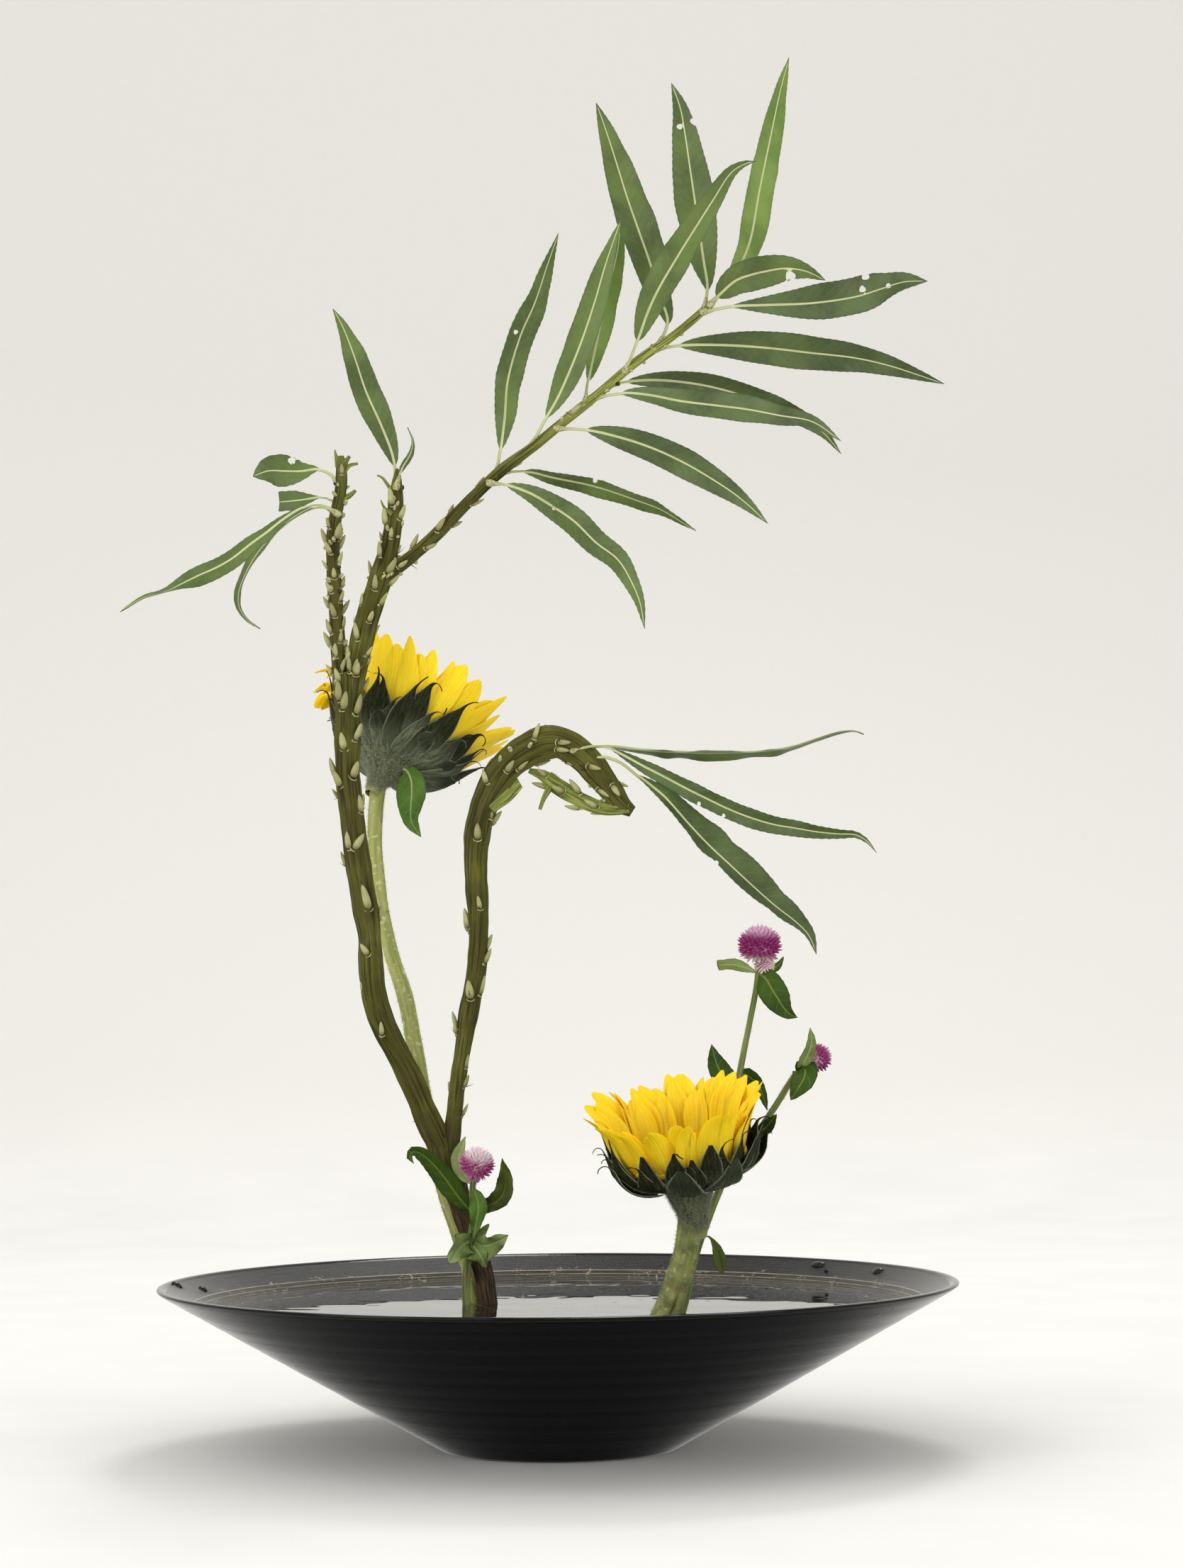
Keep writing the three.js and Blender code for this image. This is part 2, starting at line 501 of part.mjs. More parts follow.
const HIGH_SUNFLOWER = {
  stem: [
    [-22.5, 12, 25, 5], [-30, 38, 23, 5], [-37.5, 65, 21.5, 5], [-41.2, 80, 21.5, 5.2], [-46, 98, 22, 6],
    [-50.5, 112, 22.5, 6.4], [-55.5, 133, 24, 6.4], [-60.5, 160, 27, 7], [-64.5, 182, 30, 7.4], [-68.5, 203, 33, 7.4],
    [-74.2, 221, 35, 6.9], [-78.5, 240, 37, 6.8], [-80.8, 257, 39, 7], [-82, 275, 40.5, 7], [-81.2, 291, 41.5, 7.2],
    [-80, 301, 42.5, 8.5], [-79, 305, 43.5, 9.4],
  ],
  neck: [-80, 302, 42.5],
  axis: new THREE.Vector3(0.365, 0.455, 0.8125),
  rows: [
    { count: 18, at: [[28.2, 22.2], [35, 31.5], [41.5, 41], [48, 51]], width: 14.2, rise: 0.18, seed: 21, stagger: 1.1 },
    { count: 9, at: [[27.4, 22.4], [33.5, 38], [39.5, 54]], width: 12.5, rise: 0.18, seed: 22, stagger: 1.1 },
  ],
};

const LOW_SUNFLOWER = {
  stem: [
    [29, 9.5, -31.5, 10.5], [38, 38, -45, 10.5], [46, 55, -53, 10.5], [50.5, 65, -56, 10.5], [54.3, 75, -58, 10.4],
    [57.3, 85, -60, 10], [59.2, 95, -62, 10.4], [60.4, 104, -63.5, 10.6], [60.6, 110, -64.5, 12],
  ],
  neck: [60.6, 108, -64],
  axis: new THREE.Vector3(-0.15, -0.22, 0.964),
  rows: [
    { count: 17, at: [[28.2, 22.2], [34.5, 31], [38.5, 40], [42.5, 48.5]], width: 12.6, rise: 0.18, seed: 23, stagger: 1.1 },
    { count: 10, at: [[27.4, 22.4], [31.5, 36], [34.5, 49.5]], width: 12.5, rise: 0.18, seed: 24, stagger: 1.1 },
  ],
};

const BRACT_ROWS = [
  { count: 9, at: [[21.5, 11.8], [31, 16], [37, 27.5]], width: 12, rise: 0.25, seed: 25 },
  { count: 8, at: [[25.5, 14.2], [34.2, 20.4], [39.3, 32.5]], width: 11, rise: 0.25, seed: 26 },
];

// The frame of a head: spots are given by radius, height along the axis and angle round it
function headFrame({ neck, axis }) {
  const up = axis.clone().normalize();
  const side = new THREE.Vector3().crossVectors(AWAY, up).normalize();
  const back = new THREE.Vector3().crossVectors(up, side);
  const origin = seen(...neck);
  const outAt = (angle) => side.clone().multiplyScalar(Math.cos(angle)).addScaledVector(back, Math.sin(angle));
  const spotAt = (radius, height, angle) =>
    origin.clone().addScaledVector(outAt(angle), radius).addScaledVector(up, height);
  return { up, origin, outAt, spotAt };
}

function turnedOn(frame, profile, sides) {
  const turned = new THREE.LatheGeometry(profile.map(([r, h]) => new THREE.Vector2(r, h)), sides);
  return placed(turned, frame.origin, frame.up);
}

// One row of pointed blades round a head: petals or bracts
function bladeRow(frame, { count, at, width, rise, seed, stagger = 0 }, pointed) {
  const roll = dice(seed);
  const blades = [];
  for (let k = 0; k < count; k++) {
    const angle = (2 * Math.PI * (k + 0.35 * (roll() - 0.5))) / count + seed;
    const [longer, lift] = [0.94 + 0.12 * roll(), 2.4 * (roll() - 0.5)];
    const out = frame.outAt(angle);
    const across = new THREE.Vector3().crossVectors(frame.up, out);
    const middle = at.map(([r, h], i) => {
      const share = i / (at.length - 1);
      const radius = at[0][0] + (r - at[0][0]) * longer + (k % 2 ? stagger : -stagger) * Math.min(1, 3 * share);
      return frame.spotAt(radius - lift * share, h + lift * share, angle);
    });
    const outline = at.map((_, i) => keyed(pointed ? [1, 0.8, 0.08] : [0.5, 0.98, 1, 0.25], i / (at.length - 1)));
    const faces = middle.map((p, i) => {
      const along = middle[Math.min(i + 1, at.length - 1)].clone().sub(middle[Math.max(i - 1, 0)]).normalize();
      return new THREE.Vector3().crossVectors(along, across);
    });
    const rows = middle.map((p, i) => {
      const half = Math.max(TIP_HALF, (width / 2) * outline[i]);
      return [1, 0, -1].map((s) =>
        p.clone().addScaledVector(across, s * half).addScaledVector(faces[i], rise * half * Math.abs(s)),
      );
    });
    blades.push(sheet(rows, faces, faces.map(() => LEAF_THICKNESS)));
  }
  return blades;
}

function receptacle(frame, grow = 0) {
  const side = [[NECK_RADIUS, -2], [6.4, 3], [10.5, 6.5], [17.5, 8.8], [26.5, 13], [RECEPTACLE_RADIUS, RECEPTACLE_HEIGHT]];
  return turnedOn(frame, [[0, -2 - grow], ...side.map(([r, h]) => [r + grow, h - grow]), [0, RECEPTACLE_HEIGHT]], 14);
}

function sunflowerStem(flower) {
  const frame = headFrame(flower);
  const bracts = BRACT_ROWS.flatMap((row) => bladeRow(frame, row, true));
  return cutLevel(fuse([stem(flower.stem, { sides: 7, stride: 20 }), receptacle(frame), ...bracts]));
}

function sunflowerPetals(flower) {
  const frame = headFrame(flower);
  const low = RECEPTACLE_HEIGHT + GAP;
  const ring = turnedOn(
    frame,
    [
      [RING_INNER, low],
      [RECEPTACLE_RADIUS - 0.6, low],
      [28, low + 3.4],
      [RING_INNER, low],
    ],
    16,
  );
  return fuse([ring, ...flower.rows.flatMap((row) => bladeRow(frame, row, false))]);
}

// The disc is a low dome whose florets stand out in rings
function sunflowerDisc(flower) {
  const profile = [[0, RECEPTACLE_HEIGHT + GAP], [DISC_RADIUS, RECEPTACLE_HEIGHT + GAP]];
  const rings = 3;
  for (let k = 0; k < 2 * rings; k++) {
    const radius = DISC_RADIUS * (1 - k / (2 * rings));
    const dome = 5.5 - 3.2 * (radius / DISC_RADIUS) ** 2;
    profile.push([radius, RECEPTACLE_HEIGHT + GAP + dome + (k % 2 ? 0.9 : 0)]);
  }
  profile.push([0, RECEPTACLE_HEIGHT + GAP + 5]);
  return turnedOn(headFrame(flower), profile, 14);
}

// A small leaf hangs from under the high head
const HIGH_SUNFLOWER_LEAF = {
  path: [[-71.5, 308], [-67.5, 306], [-65.4, 302], [-65, 296], [-65.5, 289], [-65.3, 283], [-61, 275.5]],
  depth: [42, 36, 31, 28, 27],
  width: 13.5,
  turn: [5, 10],
  rows: 6,
  widest: 0.36,
};

// Globe amaranths

const TENDER = { sides: 5, stride: 20 };

const LEFT_AMARANTH = {
  stem: [
    [-36, 12, 12, 3.6], [-40, 45, 12, 3.6], [-41.6, 68, 12, 3.6], [-41, 82, 9, 3.4], [-39.2, 94, 5.5, 3.4],
    [-37.8, 104, 3, 3], [-38.6, 114, -1, 2.8], [-37.8, 122.5, -3.6, 2.6],
  ],
  leaves: [
    { path: [[-39, 106], [-42, 109], [-46, 114], [-51, 121], [-56, 127], [-61, 131.5], [-65, 133], [-67, 131], [-65, 127.5]],
      depth: [3, -2, -8], width: 10, turn: [-20, 0], rows: 7, widest: 0.4 },
    { path: [[-38, 105], [-33, 108], [-28, 110], [-24.5, 114], [-23.6, 120], [-24.2, 126], [-25, 129.5]],
      depth: [3, -2, -10], width: 8.5, turn: [10, -15], rows: 5 },
    { path: [[-38.2, 93], [-37.5, 98], [-36.6, 103], [-36, 108], [-37, 113], [-39, 116.5]],
      depth: [4, -2, -3], width: 8, turn: [0, 10], rows: 4, widest: 0.6 },
    { path: [[-39, 118], [-43.5, 124], [-45, 130], [-43.5, 135], [-41.5, 139.5]],
      depth: [-3, 4, 5], width: 7, turn: [10, 0], rows: 4 },
    { path: [[-39, 93], [-43, 91], [-46, 87.5], [-49.5, 82.5]],
      depth: [6, 0, -4], width: 10, turn: [-10, -20], rows: 4 },
    { path: [[-38.5, 92], [-34, 90.5], [-29, 91.5], [-22.5, 95]],
      depth: [6, 0, -4], width: 10, turn: [10, 20], rows: 4 },
    { path: [[-38.5, 91], [-36, 87.5], [-34, 84], [-32.5, 80.5]],
      depth: [6, 0, 2], width: 8, turn: [15, 10], rows: 3 },
    { path: [[-38.5, 91], [-35, 96], [-31, 100]],
      depth: [6, 6, 3], width: 4, turn: [10, 20], rows: 3 },
  ],
  head: { at: [-36.5, 127, -5], size: [8.2, 7.2], axis: new THREE.Vector3(0.2, -0.42, 0.88) },
};

const RIGHT_AMARANTH = {
  stem: [
    [36, 9, -22, 3.4], [47, 38, -32, 3.4], [56.4, 62, -40, 3.4], [60.3, 78, -41, 3.2], [64, 91, -40, 3.2],
    [66.5, 98.5, -39, 4], [70.5, 108, -35, 3.2], [75.8, 122, -28, 3.6], [79.3, 142, -22, 3], [82.8, 166, -18, 2.8],
    [87.8, 190, -18, 2.7], [91.2, 207, -19, 2.6], [92.3, 219, -20.4, 2.6],
  ],
  branch: [
    [75.2, 120, -28.5, 3], [82, 129, -27, 3], [91, 140.5, -28, 2.8], [100, 153.5, -31, 2.8], [107.5, 165, -34, 2.7],
    [115.4, 173, -35, 2.6],
  ],
  leaves: [
    { path: [[92, 212], [86, 214.5], [80, 216], [73.5, 215.6]],
      depth: [-20, -26, -30], width: 6, turn: [30, 20], rows: 4 },
    { path: [[93, 212], [98, 214], [101, 215.5], [103.6, 219.5]],
      depth: [-20, -14, -12], width: 4, turn: [20, 20], rows: 3 },
    { path: [[92.5, 212], [95.5, 209.5], [98, 205], [100.5, 201], [103, 197], [105.5, 194], [109.5, 191.8]],
      depth: [-20, -27, -32], width: 13, turn: [5, 20], rows: 6, widest: 0.4 },
    { path: [[81.5, 157], [77, 163], [73.5, 169], [71.7, 174], [70.4, 180]],
      depth: [-19, -12, -6], width: 10.5, turn: [10, 0], rows: 5, widest: 0.35 },
    { path: [[82, 158], [84.5, 166.5], [89.5, 163.8], [93, 158.5], [95.3, 150]],
      depth: [-18, -14, -20], width: 7, turn: [15, 30], rows: 5 },
    { path: [[90.5, 140], [94, 142], [96.5, 144.5], [99.5, 148.2]],
      depth: [-28, -33, -37], width: 6, turn: [10, 0], rows: 3 },
    { path: [[109, 167], [112, 171.5], [114.8, 177], [115.6, 181], [115.2, 187]],
      depth: [-34.5, -41, -44, -44, -42], width: 8, turn: [0, 10], rows: 5, widest: 0.5 },
    { path: [[109, 167], [112.6, 168.5], [112.2, 164.5], [109.5, 160], [106, 154.5]],
      depth: [-34.5, -40, -44, -45, -44], width: 11, turn: [15, 10], rows: 5, widest: 0.45 },
    { path: [[65.5, 93], [68, 93.6], [71, 90], [72.8, 86], [73.6, 81.5], [74, 76.5]],
      depth: [-40, -44, -46], width: 5, turn: [20, 40], rows: 6, widest: 0.68 },
  ],
  stubs: [
    [[90.3, 138, -28, 2], [94.2, 136.8, -31, 1.3]],
    [[88, 134.3, -27, 2], [94.4, 134.2, -31, 1.6]],
  ],
  highHead: { at: [92.7, 224.5, -21], size: [10, 8.8], axis: new THREE.Vector3(0.04, -0.1, 0.99) },
  lowHead: { at: [118.3, 173.5, -33.5], size: [6.6, 6], axis: new THREE.Vector3(0.8, 0.5, 0.25) },
};

// The stem and its leaves stop short of the heads, and a head has a socket for the stem's end
function amaranthStem(stems, leaves, heads) {
  const clear = heads.map((head) => turnedBall(head, 1 + 1.2 / head.size[0]));
  const blades = leaves.map((spec) => clear.reduce((left, ball) => left.subtract(ball), leaf(spec)));
  return cutLevel(fuse([...stems.map((stations) => stem(stations, TENDER)), ...blades]));
}

function turnedBall({ at, size: [radius, half], axis }, grow = 1) {
  const ball = new THREE.IcosahedronGeometry(1, 1).scale(radius * grow, half * grow, radius * grow);
  return placed(ball, seen(...at), axis.clone().normalize());
}

// A head is a ball whose every facet is drawn out to a pointed, papery bract that leans up the head
function amaranthHead({ at, size: [radius, half], axis }, stems) {
  const core = new THREE.IcosahedronGeometry(1, 1).attributes.position;
  const corner = (i) => new THREE.Vector3().fromBufferAttribute(core, i).multiplyScalar(0.8);
  const spots = [];
  for (let i = 0; i < core.count; i += 3) {
    const [a, b, c] = [corner(i), corner(i + 1), corner(i + 2)];
    const tip = a.clone().add(b).add(c).normalize().multiplyScalar(0.97);
    tip.y += 0.16 * (1 - Math.abs(tip.y));
    for (const [p, q] of [[a, b], [b, c], [c, a]]) spots.push(p, q, tip);
  }
  const skin = new THREE.BufferGeometry().setFromPoints(spots).scale(radius, half, radius);
  const head = placed(skin, seen(...at), axis.clone().normalize());
  return stems.reduce((left, stations) => left.subtract(stem(stations, { ...TENDER, grow: GAP })), head);
}

// The arrangement

const arrangement = new THREE.Group();

function finish(colour, roughness, metalness = 0) {
  return new THREE.MeshStandardMaterial({ color: colour, roughness, metalness });
}

function place(name, solid, material) {
  const mesh = new THREE.Mesh(geometryOf(solid), material);
  mesh.name = name;
  arrangement.add(mesh);
}

const grownWillow = fuse(
  Object.entries(WILLOW_LIMBS).map(([name, stations]) => stem(stations, { ...limbShape(name), grow: GAP })),
);
const stemsInWater = [WILLOW_LIMBS.trunk, HIGH_SUNFLOWER.stem, LEFT_AMARANTH.stem, LOW_SUNFLOWER.stem, RIGHT_AMARANTH.stem];
const dips = stemsInWater.map((stations) => stem(stations, { sides: 7, stride: 14, grow: GAP + 0.5 }));
const feet = stemsInWater.map(([[x, z, y, width]]) => {
  const foot = seen(x, z, y);
  return [foot.x, foot.y, width / 2 + 1.5];
});

place("bowl", bowl(), finish(0x232427, 0.4));
place("water", water(dips), finish(0xdfe6e4, 0.05));
place("kenzan", needleHolder(feet), finish(0x8a8b86, 0.5, 0.7));

place("willow_stem", willowStem(), finish(0x5a5a2e, 0.75));
for (const [k, spec] of WILLOW_LEAVES.entries())
  place(`willow_leaf_${String(k + 1).padStart(2, "0")}`, leaf(spec).subtract(grownWillow), finish(0x56723f, 0.6));

for (const [name, flower] of [["sunflower_high", HIGH_SUNFLOWER], ["sunflower_low", LOW_SUNFLOWER]]) {
  place(`${name}_stem`, sunflowerStem(flower), finish(0x6f7c4a, 0.8));
  place(`${name}_petals`, sunflowerPetals(flower), finish(0xf5d020, 0.6));
  place(`${name}_disc`, sunflowerDisc(flower), finish(0x2e2416, 0.9));
}
const underHighHead = receptacle(headFrame(HIGH_SUNFLOWER), GAP);
place("sunflower_high_leaf", leaf(HIGH_SUNFLOWER_LEAF).subtract(underHighHead), finish(0x4f6b33, 0.6));

const leftStems = [LEFT_AMARANTH.stem];
const rightStems = [RIGHT_AMARANTH.stem, RIGHT_AMARANTH.branch, ...RIGHT_AMARANTH.stubs];
const rightHeads = [RIGHT_AMARANTH.highHead, RIGHT_AMARANTH.lowHead];
place("amaranth_left_stem", amaranthStem(leftStems, LEFT_AMARANTH.leaves, [LEFT_AMARANTH.head]), finish(0x6d8a3d, 0.65));
place("amaranth_left_head", amaranthHead(LEFT_AMARANTH.head, leftStems), finish(0xb25a98, 0.7));
place("amaranth_right_stem", amaranthStem(rightStems, RIGHT_AMARANTH.leaves, rightHeads), finish(0x5f7a38, 0.65));
place("amaranth_right_head_high", amaranthHead(RIGHT_AMARANTH.highHead, rightStems), finish(0xa8478f, 0.7));
place("amaranth_right_head_low", amaranthHead(RIGHT_AMARANTH.lowHead, rightStems), finish(0xa8478f, 0.7));

export default arrangement;
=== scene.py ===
"""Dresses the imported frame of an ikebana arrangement: willow, sunflowers and amaranths in a bowl of water.

Lengths are in millimetres until a mesh is built, +Z is up and the front looks along +Y.
"""
import math
import random
from functools import cache

import bpy
import numpy as np
from bpy.props import FloatProperty, FloatVectorProperty, IntProperty, PointerProperty
from mathutils import Matrix, Vector


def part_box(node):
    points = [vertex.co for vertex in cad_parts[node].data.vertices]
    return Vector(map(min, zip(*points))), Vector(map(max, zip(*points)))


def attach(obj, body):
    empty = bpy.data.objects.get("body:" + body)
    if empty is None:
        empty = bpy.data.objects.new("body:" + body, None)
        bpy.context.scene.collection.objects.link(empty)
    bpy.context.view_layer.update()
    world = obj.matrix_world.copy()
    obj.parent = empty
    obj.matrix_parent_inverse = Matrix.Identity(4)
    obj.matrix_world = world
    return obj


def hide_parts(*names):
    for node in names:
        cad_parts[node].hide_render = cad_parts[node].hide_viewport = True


bl_info = {
    "name": "Ikebana Arrangement",
    "version": (1, 0, 0),
    "blender": (4, 5, 0),
    "location": "3D Viewport > Sidebar > Ikebana",
    "description": "Bark, leaves, petals, glaze and water for a packed ikebana arrangement",
    "category": "Add Mesh",
}

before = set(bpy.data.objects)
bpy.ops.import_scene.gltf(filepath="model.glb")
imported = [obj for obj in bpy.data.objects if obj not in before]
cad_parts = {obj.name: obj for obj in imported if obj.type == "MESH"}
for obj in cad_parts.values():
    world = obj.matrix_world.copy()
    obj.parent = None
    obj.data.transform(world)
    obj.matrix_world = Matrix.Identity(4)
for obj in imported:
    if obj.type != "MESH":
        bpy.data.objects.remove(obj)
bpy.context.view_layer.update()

MM = 0.001
TAU = 2 * math.pi
GOLDEN_ANGLE = math.radians(137.5)

# The stems and leaves were measured in the front plane, y = 0, as seen from this eye.
EYE = np.array([17.0, -1500.0, 193.0])
AWAY = np.array([0.0, 1.0, 0.0])


# Lines and numbers


def unit(v):
    return v / np.maximum(np.linalg.norm(v, axis=-1, keepdims=True), 1e-9)


def seen(x, z, y=0.0):
    """Slides a spot of the front plane along its line of sight to its own depth y."""
    reach = (y - EYE[1]) / -EYE[1]
    return np.array([EYE[0] + (x - EYE[0]) * reach, y, EYE[2] + (z - EYE[2]) * reach])


def in_front(spots):
    """The x and z at which spots show in the front plane."""
    reach = (spots[..., 1:2] - EYE[1]) / -EYE[1]
    return EYE[::2] + (spots[..., ::2] - EYE[::2]) / reach


def keyed(keys, share):
    """A value read off evenly spaced keys at a share from 0 to 1."""
    return np.interp(share, np.linspace(0, 1, len(keys)), keys)


def pairs(first, second):
    """Two numbers for each spot, side by side."""
    return np.stack(np.broadcast_arrays(first, second), -1)


def smooth(values, reach=2):
    """Evens out the kinks of a row of numbers."""
    for _ in range(reach):
        values = np.concatenate([values[:1], (values[:-2] + 2 * values[1:-1] + values[2:]) / 4, values[-1:]])
    return values


def uneven(seed, *places):
    """A smooth seeded unevenness from about -1 to 1, whose waves are a few units long."""
    roll = random.Random(seed)
    total = 0
    for size in (1.0, 0.55, 0.3):
        bend = roll.uniform(0, TAU)
        for place in places:
            bend = bend + place * roll.uniform(0.7, 1.3) / size
        total = total + size * np.sin(bend)
    return total / 1.3


class Line:
    """A smooth line through spots, read off at shares of its length."""

    STEPS = 14

    def __init__(self, spots):
        spots = np.asarray(spots, float)
        ends = np.vstack([2 * spots[0] - spots[1], spots, 2 * spots[-1] - spots[-2]])
        share = (np.arange(self.STEPS) / self.STEPS)[:, None]
        runs = []
        for p0, p1, p2, p3 in zip(ends, ends[1:], ends[2:], ends[3:]):
            d0, d1, d2 = (np.linalg.norm(b - a) ** 0.5 for a, b in ((p0, p1), (p1, p2), (p2, p3)))
            m1 = ((p1 - p0) / d0 - (p2 - p0) / (d0 + d1) + (p2 - p1) / d1) * d1
            m2 = ((p2 - p1) / d1 - (p3 - p1) / (d1 + d2) + (p3 - p2) / d2) * d1
            bend = 3 * (p2 - p1) - 2 * m1 - m2
            runs.append(p1 + m1 * share + bend * share**2 + (2 * (p1 - p2) + m1 + m2) * share**3)
        self.spots = np.vstack([*runs, spots[-1:]])
        self.places = np.arange(len(self.spots)) / self.STEPS
        self.lengths = np.concatenate([[0], np.cumsum(np.linalg.norm(np.diff(self.spots, axis=0), axis=1))])
        self.length = self.lengths[-1]
        self.ways = unit(np.gradient(self.spots, self.lengths, axis=0))

    def read(self, share, values):
        along = np.asarray(share) * self.length
        return np.stack([np.interp(along, self.lengths, column) for column in values.T], -1)

    def at(self, share):
        """The spots and directions at these shares of the length."""
        return self.read(share, self.spots), unit(self.read(share, self.ways))


class Limb(Line):
    """A line through stations of [x, z, y, width, depth], seen in front. Depth is the width if left out."""

    def __init__(self, stations):
        super().__init__([seen(*station[:3]) for station in stations])
        self.halves = np.array([[station[3], station[-1]] for station in stations]) / 2

    def frames(self, share):
        """At these shares: the axis, its ways along, across and back, and half the width and the depth."""
        centre, way = self.at(share)
        side = unit(np.cross(AWAY, way))
        place = np.interp(share * self.length, self.lengths, self.places)
        half, deep = (np.interp(place, np.arange(len(self.halves)), column) for column in self.halves.T)
        return centre, way, side, np.cross(way, side), half, deep


# Meshes


class Shape:
    """Collects one piece: its spots in mm, its faces with their finish, and two pairs of numbers on each
    corner.

    Grain is measured in mm across and along the piece's own parts. Share runs over each part from 0 to 1,
    or from -1 to 1 across a blade.
    """

    def __init__(self, name):
        self.name, self.count = name, 0
        self.spots, self.faces, self.finishes, self.grain, self.share = [], [], [], [], []

    def put(self, spots):
        first = self.count
        self.spots.append(np.reshape(spots, (-1, 3)))
        self.count += len(self.spots[-1])
        return first

    def cover(self, faces, grain, share, finish=0):
        self.faces.append(np.asarray(faces))
        self.grain.append(np.asarray(grain, float))
        self.share.append(np.asarray(share, float))
        self.finishes.append(np.broadcast_to(finish, len(faces)))

    def build(self, slot, materials, *nodes):
        mesh = bpy.data.meshes.new(self.name)
        faces = [tuple(face) for block in self.faces for face in block.tolist()]
        mesh.from_pydata((np.vstack(self.spots) * MM).tolist(), [], faces)
        for name, blocks in (("Grain", self.grain), ("Share", self.share)):
            corners = np.concatenate([block.reshape(-1) for block in blocks])
            mesh.uv_layers.new(name=name).uv.foreach_set("vector", corners)
        for material in materials:
            mesh.materials.append(material)
        mesh.polygons.foreach_set("material_index", np.concatenate(self.finishes))
        mesh.polygons.foreach_set("use_smooth", np.ones(len(faces), bool))
        mesh.set_sharp_from_angle(angle=math.radians(42))
        piece = bpy.data.objects.new(self.name, mesh)
        bpy.context.scene.collection.objects.link(piece)
        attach(piece, "root")
        if nodes:
            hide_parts(*nodes)
        return piece


def grid(rows, columns, closed=False):
    """The faces of a grid of spots, with the row and column of each corner. A closed grid meets itself."""
    row, column = np.meshgrid(np.arange(rows - 1), np.arange(columns - (not closed)), indexing="ij")
    row, column = row.ravel(), column.ravel()
    corner_rows = np.stack([row, row, row + 1, row + 1], 1)
    corner_columns = np.stack([column, column + 1, column + 1, column], 1)
    return corner_rows * columns + corner_columns % columns, corner_rows, corner_columns


def skin(shape, rings, girth, along, finish=0):
    """Covers closed rings. The grain goes this many mm round them, and along has its place at each."""
    count, sides = rings.shape[:2]
    first = shape.put(rings)
    faces, rows, columns = grid(count, sides, closed=True)
    grain = pairs(columns / sides * girth, along[rows])
    shape.cover(faces + first, grain, pairs(columns / sides, rows / (count - 1)), finish)
    return first


def tube(shape, centres, across, back, along, finish=0):
    """A closed skin round centres. across and back hold, for each centre and side, the way to the skin."""
    rings = centres[:, None] + across + back
    count, sides = rings.shape[:2]
    girth = np.linalg.norm(np.diff(rings, axis=1), axis=2).sum(1).mean()
    first = skin(shape, rings, girth, along, finish)
    hubs = shape.put(centres[[0, -1]])
    side = np.arange(sides)
    for hub, ring, turn in ((hubs, 0, -1), (hubs + 1, count - 1, 1)):
        start = first + ring * sides
        fan = np.stack([np.full(sides, hub), start + side, start + (side + 1) % sides][::turn], 1)
        end = np.broadcast_to([0.5, ring / (count - 1)], (sides, 3, 2))
        shape.cover(fan, np.broadcast_to([0.0, along[ring]], (sides, 3, 2)), end, finish)
    return rings, unit(rings - centres[:, None])


def stem(shape, stations, stride, sides, finish, ridges, seed):
    """A limb with lengthwise ridges, and gives its skin's spots and the ways out of it."""
    limb = Limb(stations)
    share = np.linspace(0, 1, max(4, round(limb.length / stride)))
    centres, _, side, behind, half, deep = limb.frames(share)
    along = share * limb.length
    # The seam is at the back, so the first spot of each ring looks away.
    angle = (TAU * (np.arange(sides) / sides + 0.25))[None]
    roll = random.Random(seed)
    swell = ridges * sum(
        size * np.sin(waves * angle + roll.uniform(0, TAU) + along[:, None] * roll.uniform(-0.03, 0.03))
        for waves, size in ((2, 0.5), (3, 0.7), (5, 0.7), (8, 0.6), (11, 0.4))
    )
    swell = 1 + swell + 0.4 * ridges * uneven(seed, along / 5)[:, None]
    across = side[:, None] * (smooth(half)[:, None] * swell * np.cos(angle))[..., None]
    back = behind[:, None] * (smooth(deep)[:, None] * swell * np.sin(angle))[..., None]
    return tube(shape, centres, across, back, along, finish)


def sheet(shape, rows, faces_up, thick, column, half, along, finishes, keep=None):
    """A thin blade: two skins round its middle rows, joined along every free edge.

    column says where a row's spots lie, from -1 to 1, and half and along hold each row's half width and
    its place along the blade.
    """
    count, across = rows.shape[:2]
    lift = faces_up[:, None] * thick[..., None] / 2
    upper, under = shape.put(rows + lift), shape.put(rows - lift)
    faces = grid(count, across)[0]
    if keep is not None:
        faces = faces[keep(rows.reshape(-1, 3)[faces].mean(1))]
    grain = pairs(half[:, None] * column, along[:, None]).reshape(-1, 2)
    share = pairs(column, np.linspace(0, 1, count)[:, None]).reshape(-1, 2)
    ahead = np.stack([faces, np.roll(faces, -1, axis=1)], -1).reshape(-1, 2)
    size = count * across
    free = ahead[~np.isin(ahead[:, 0] * size + ahead[:, 1], ahead[:, 1] * size + ahead[:, 0])]
    turned_over = faces[:, ::-1]
    rim = free[:, [1, 0, 0, 1]]
    for spots, side, finish in (
        (faces, upper, finishes[0]),
        (turned_over, under, finishes[1]),
        (rim, [upper, upper, under, under], finishes[1]),
    ):
        shape.cover(spots + side, grain[spots], share[spots], finish)


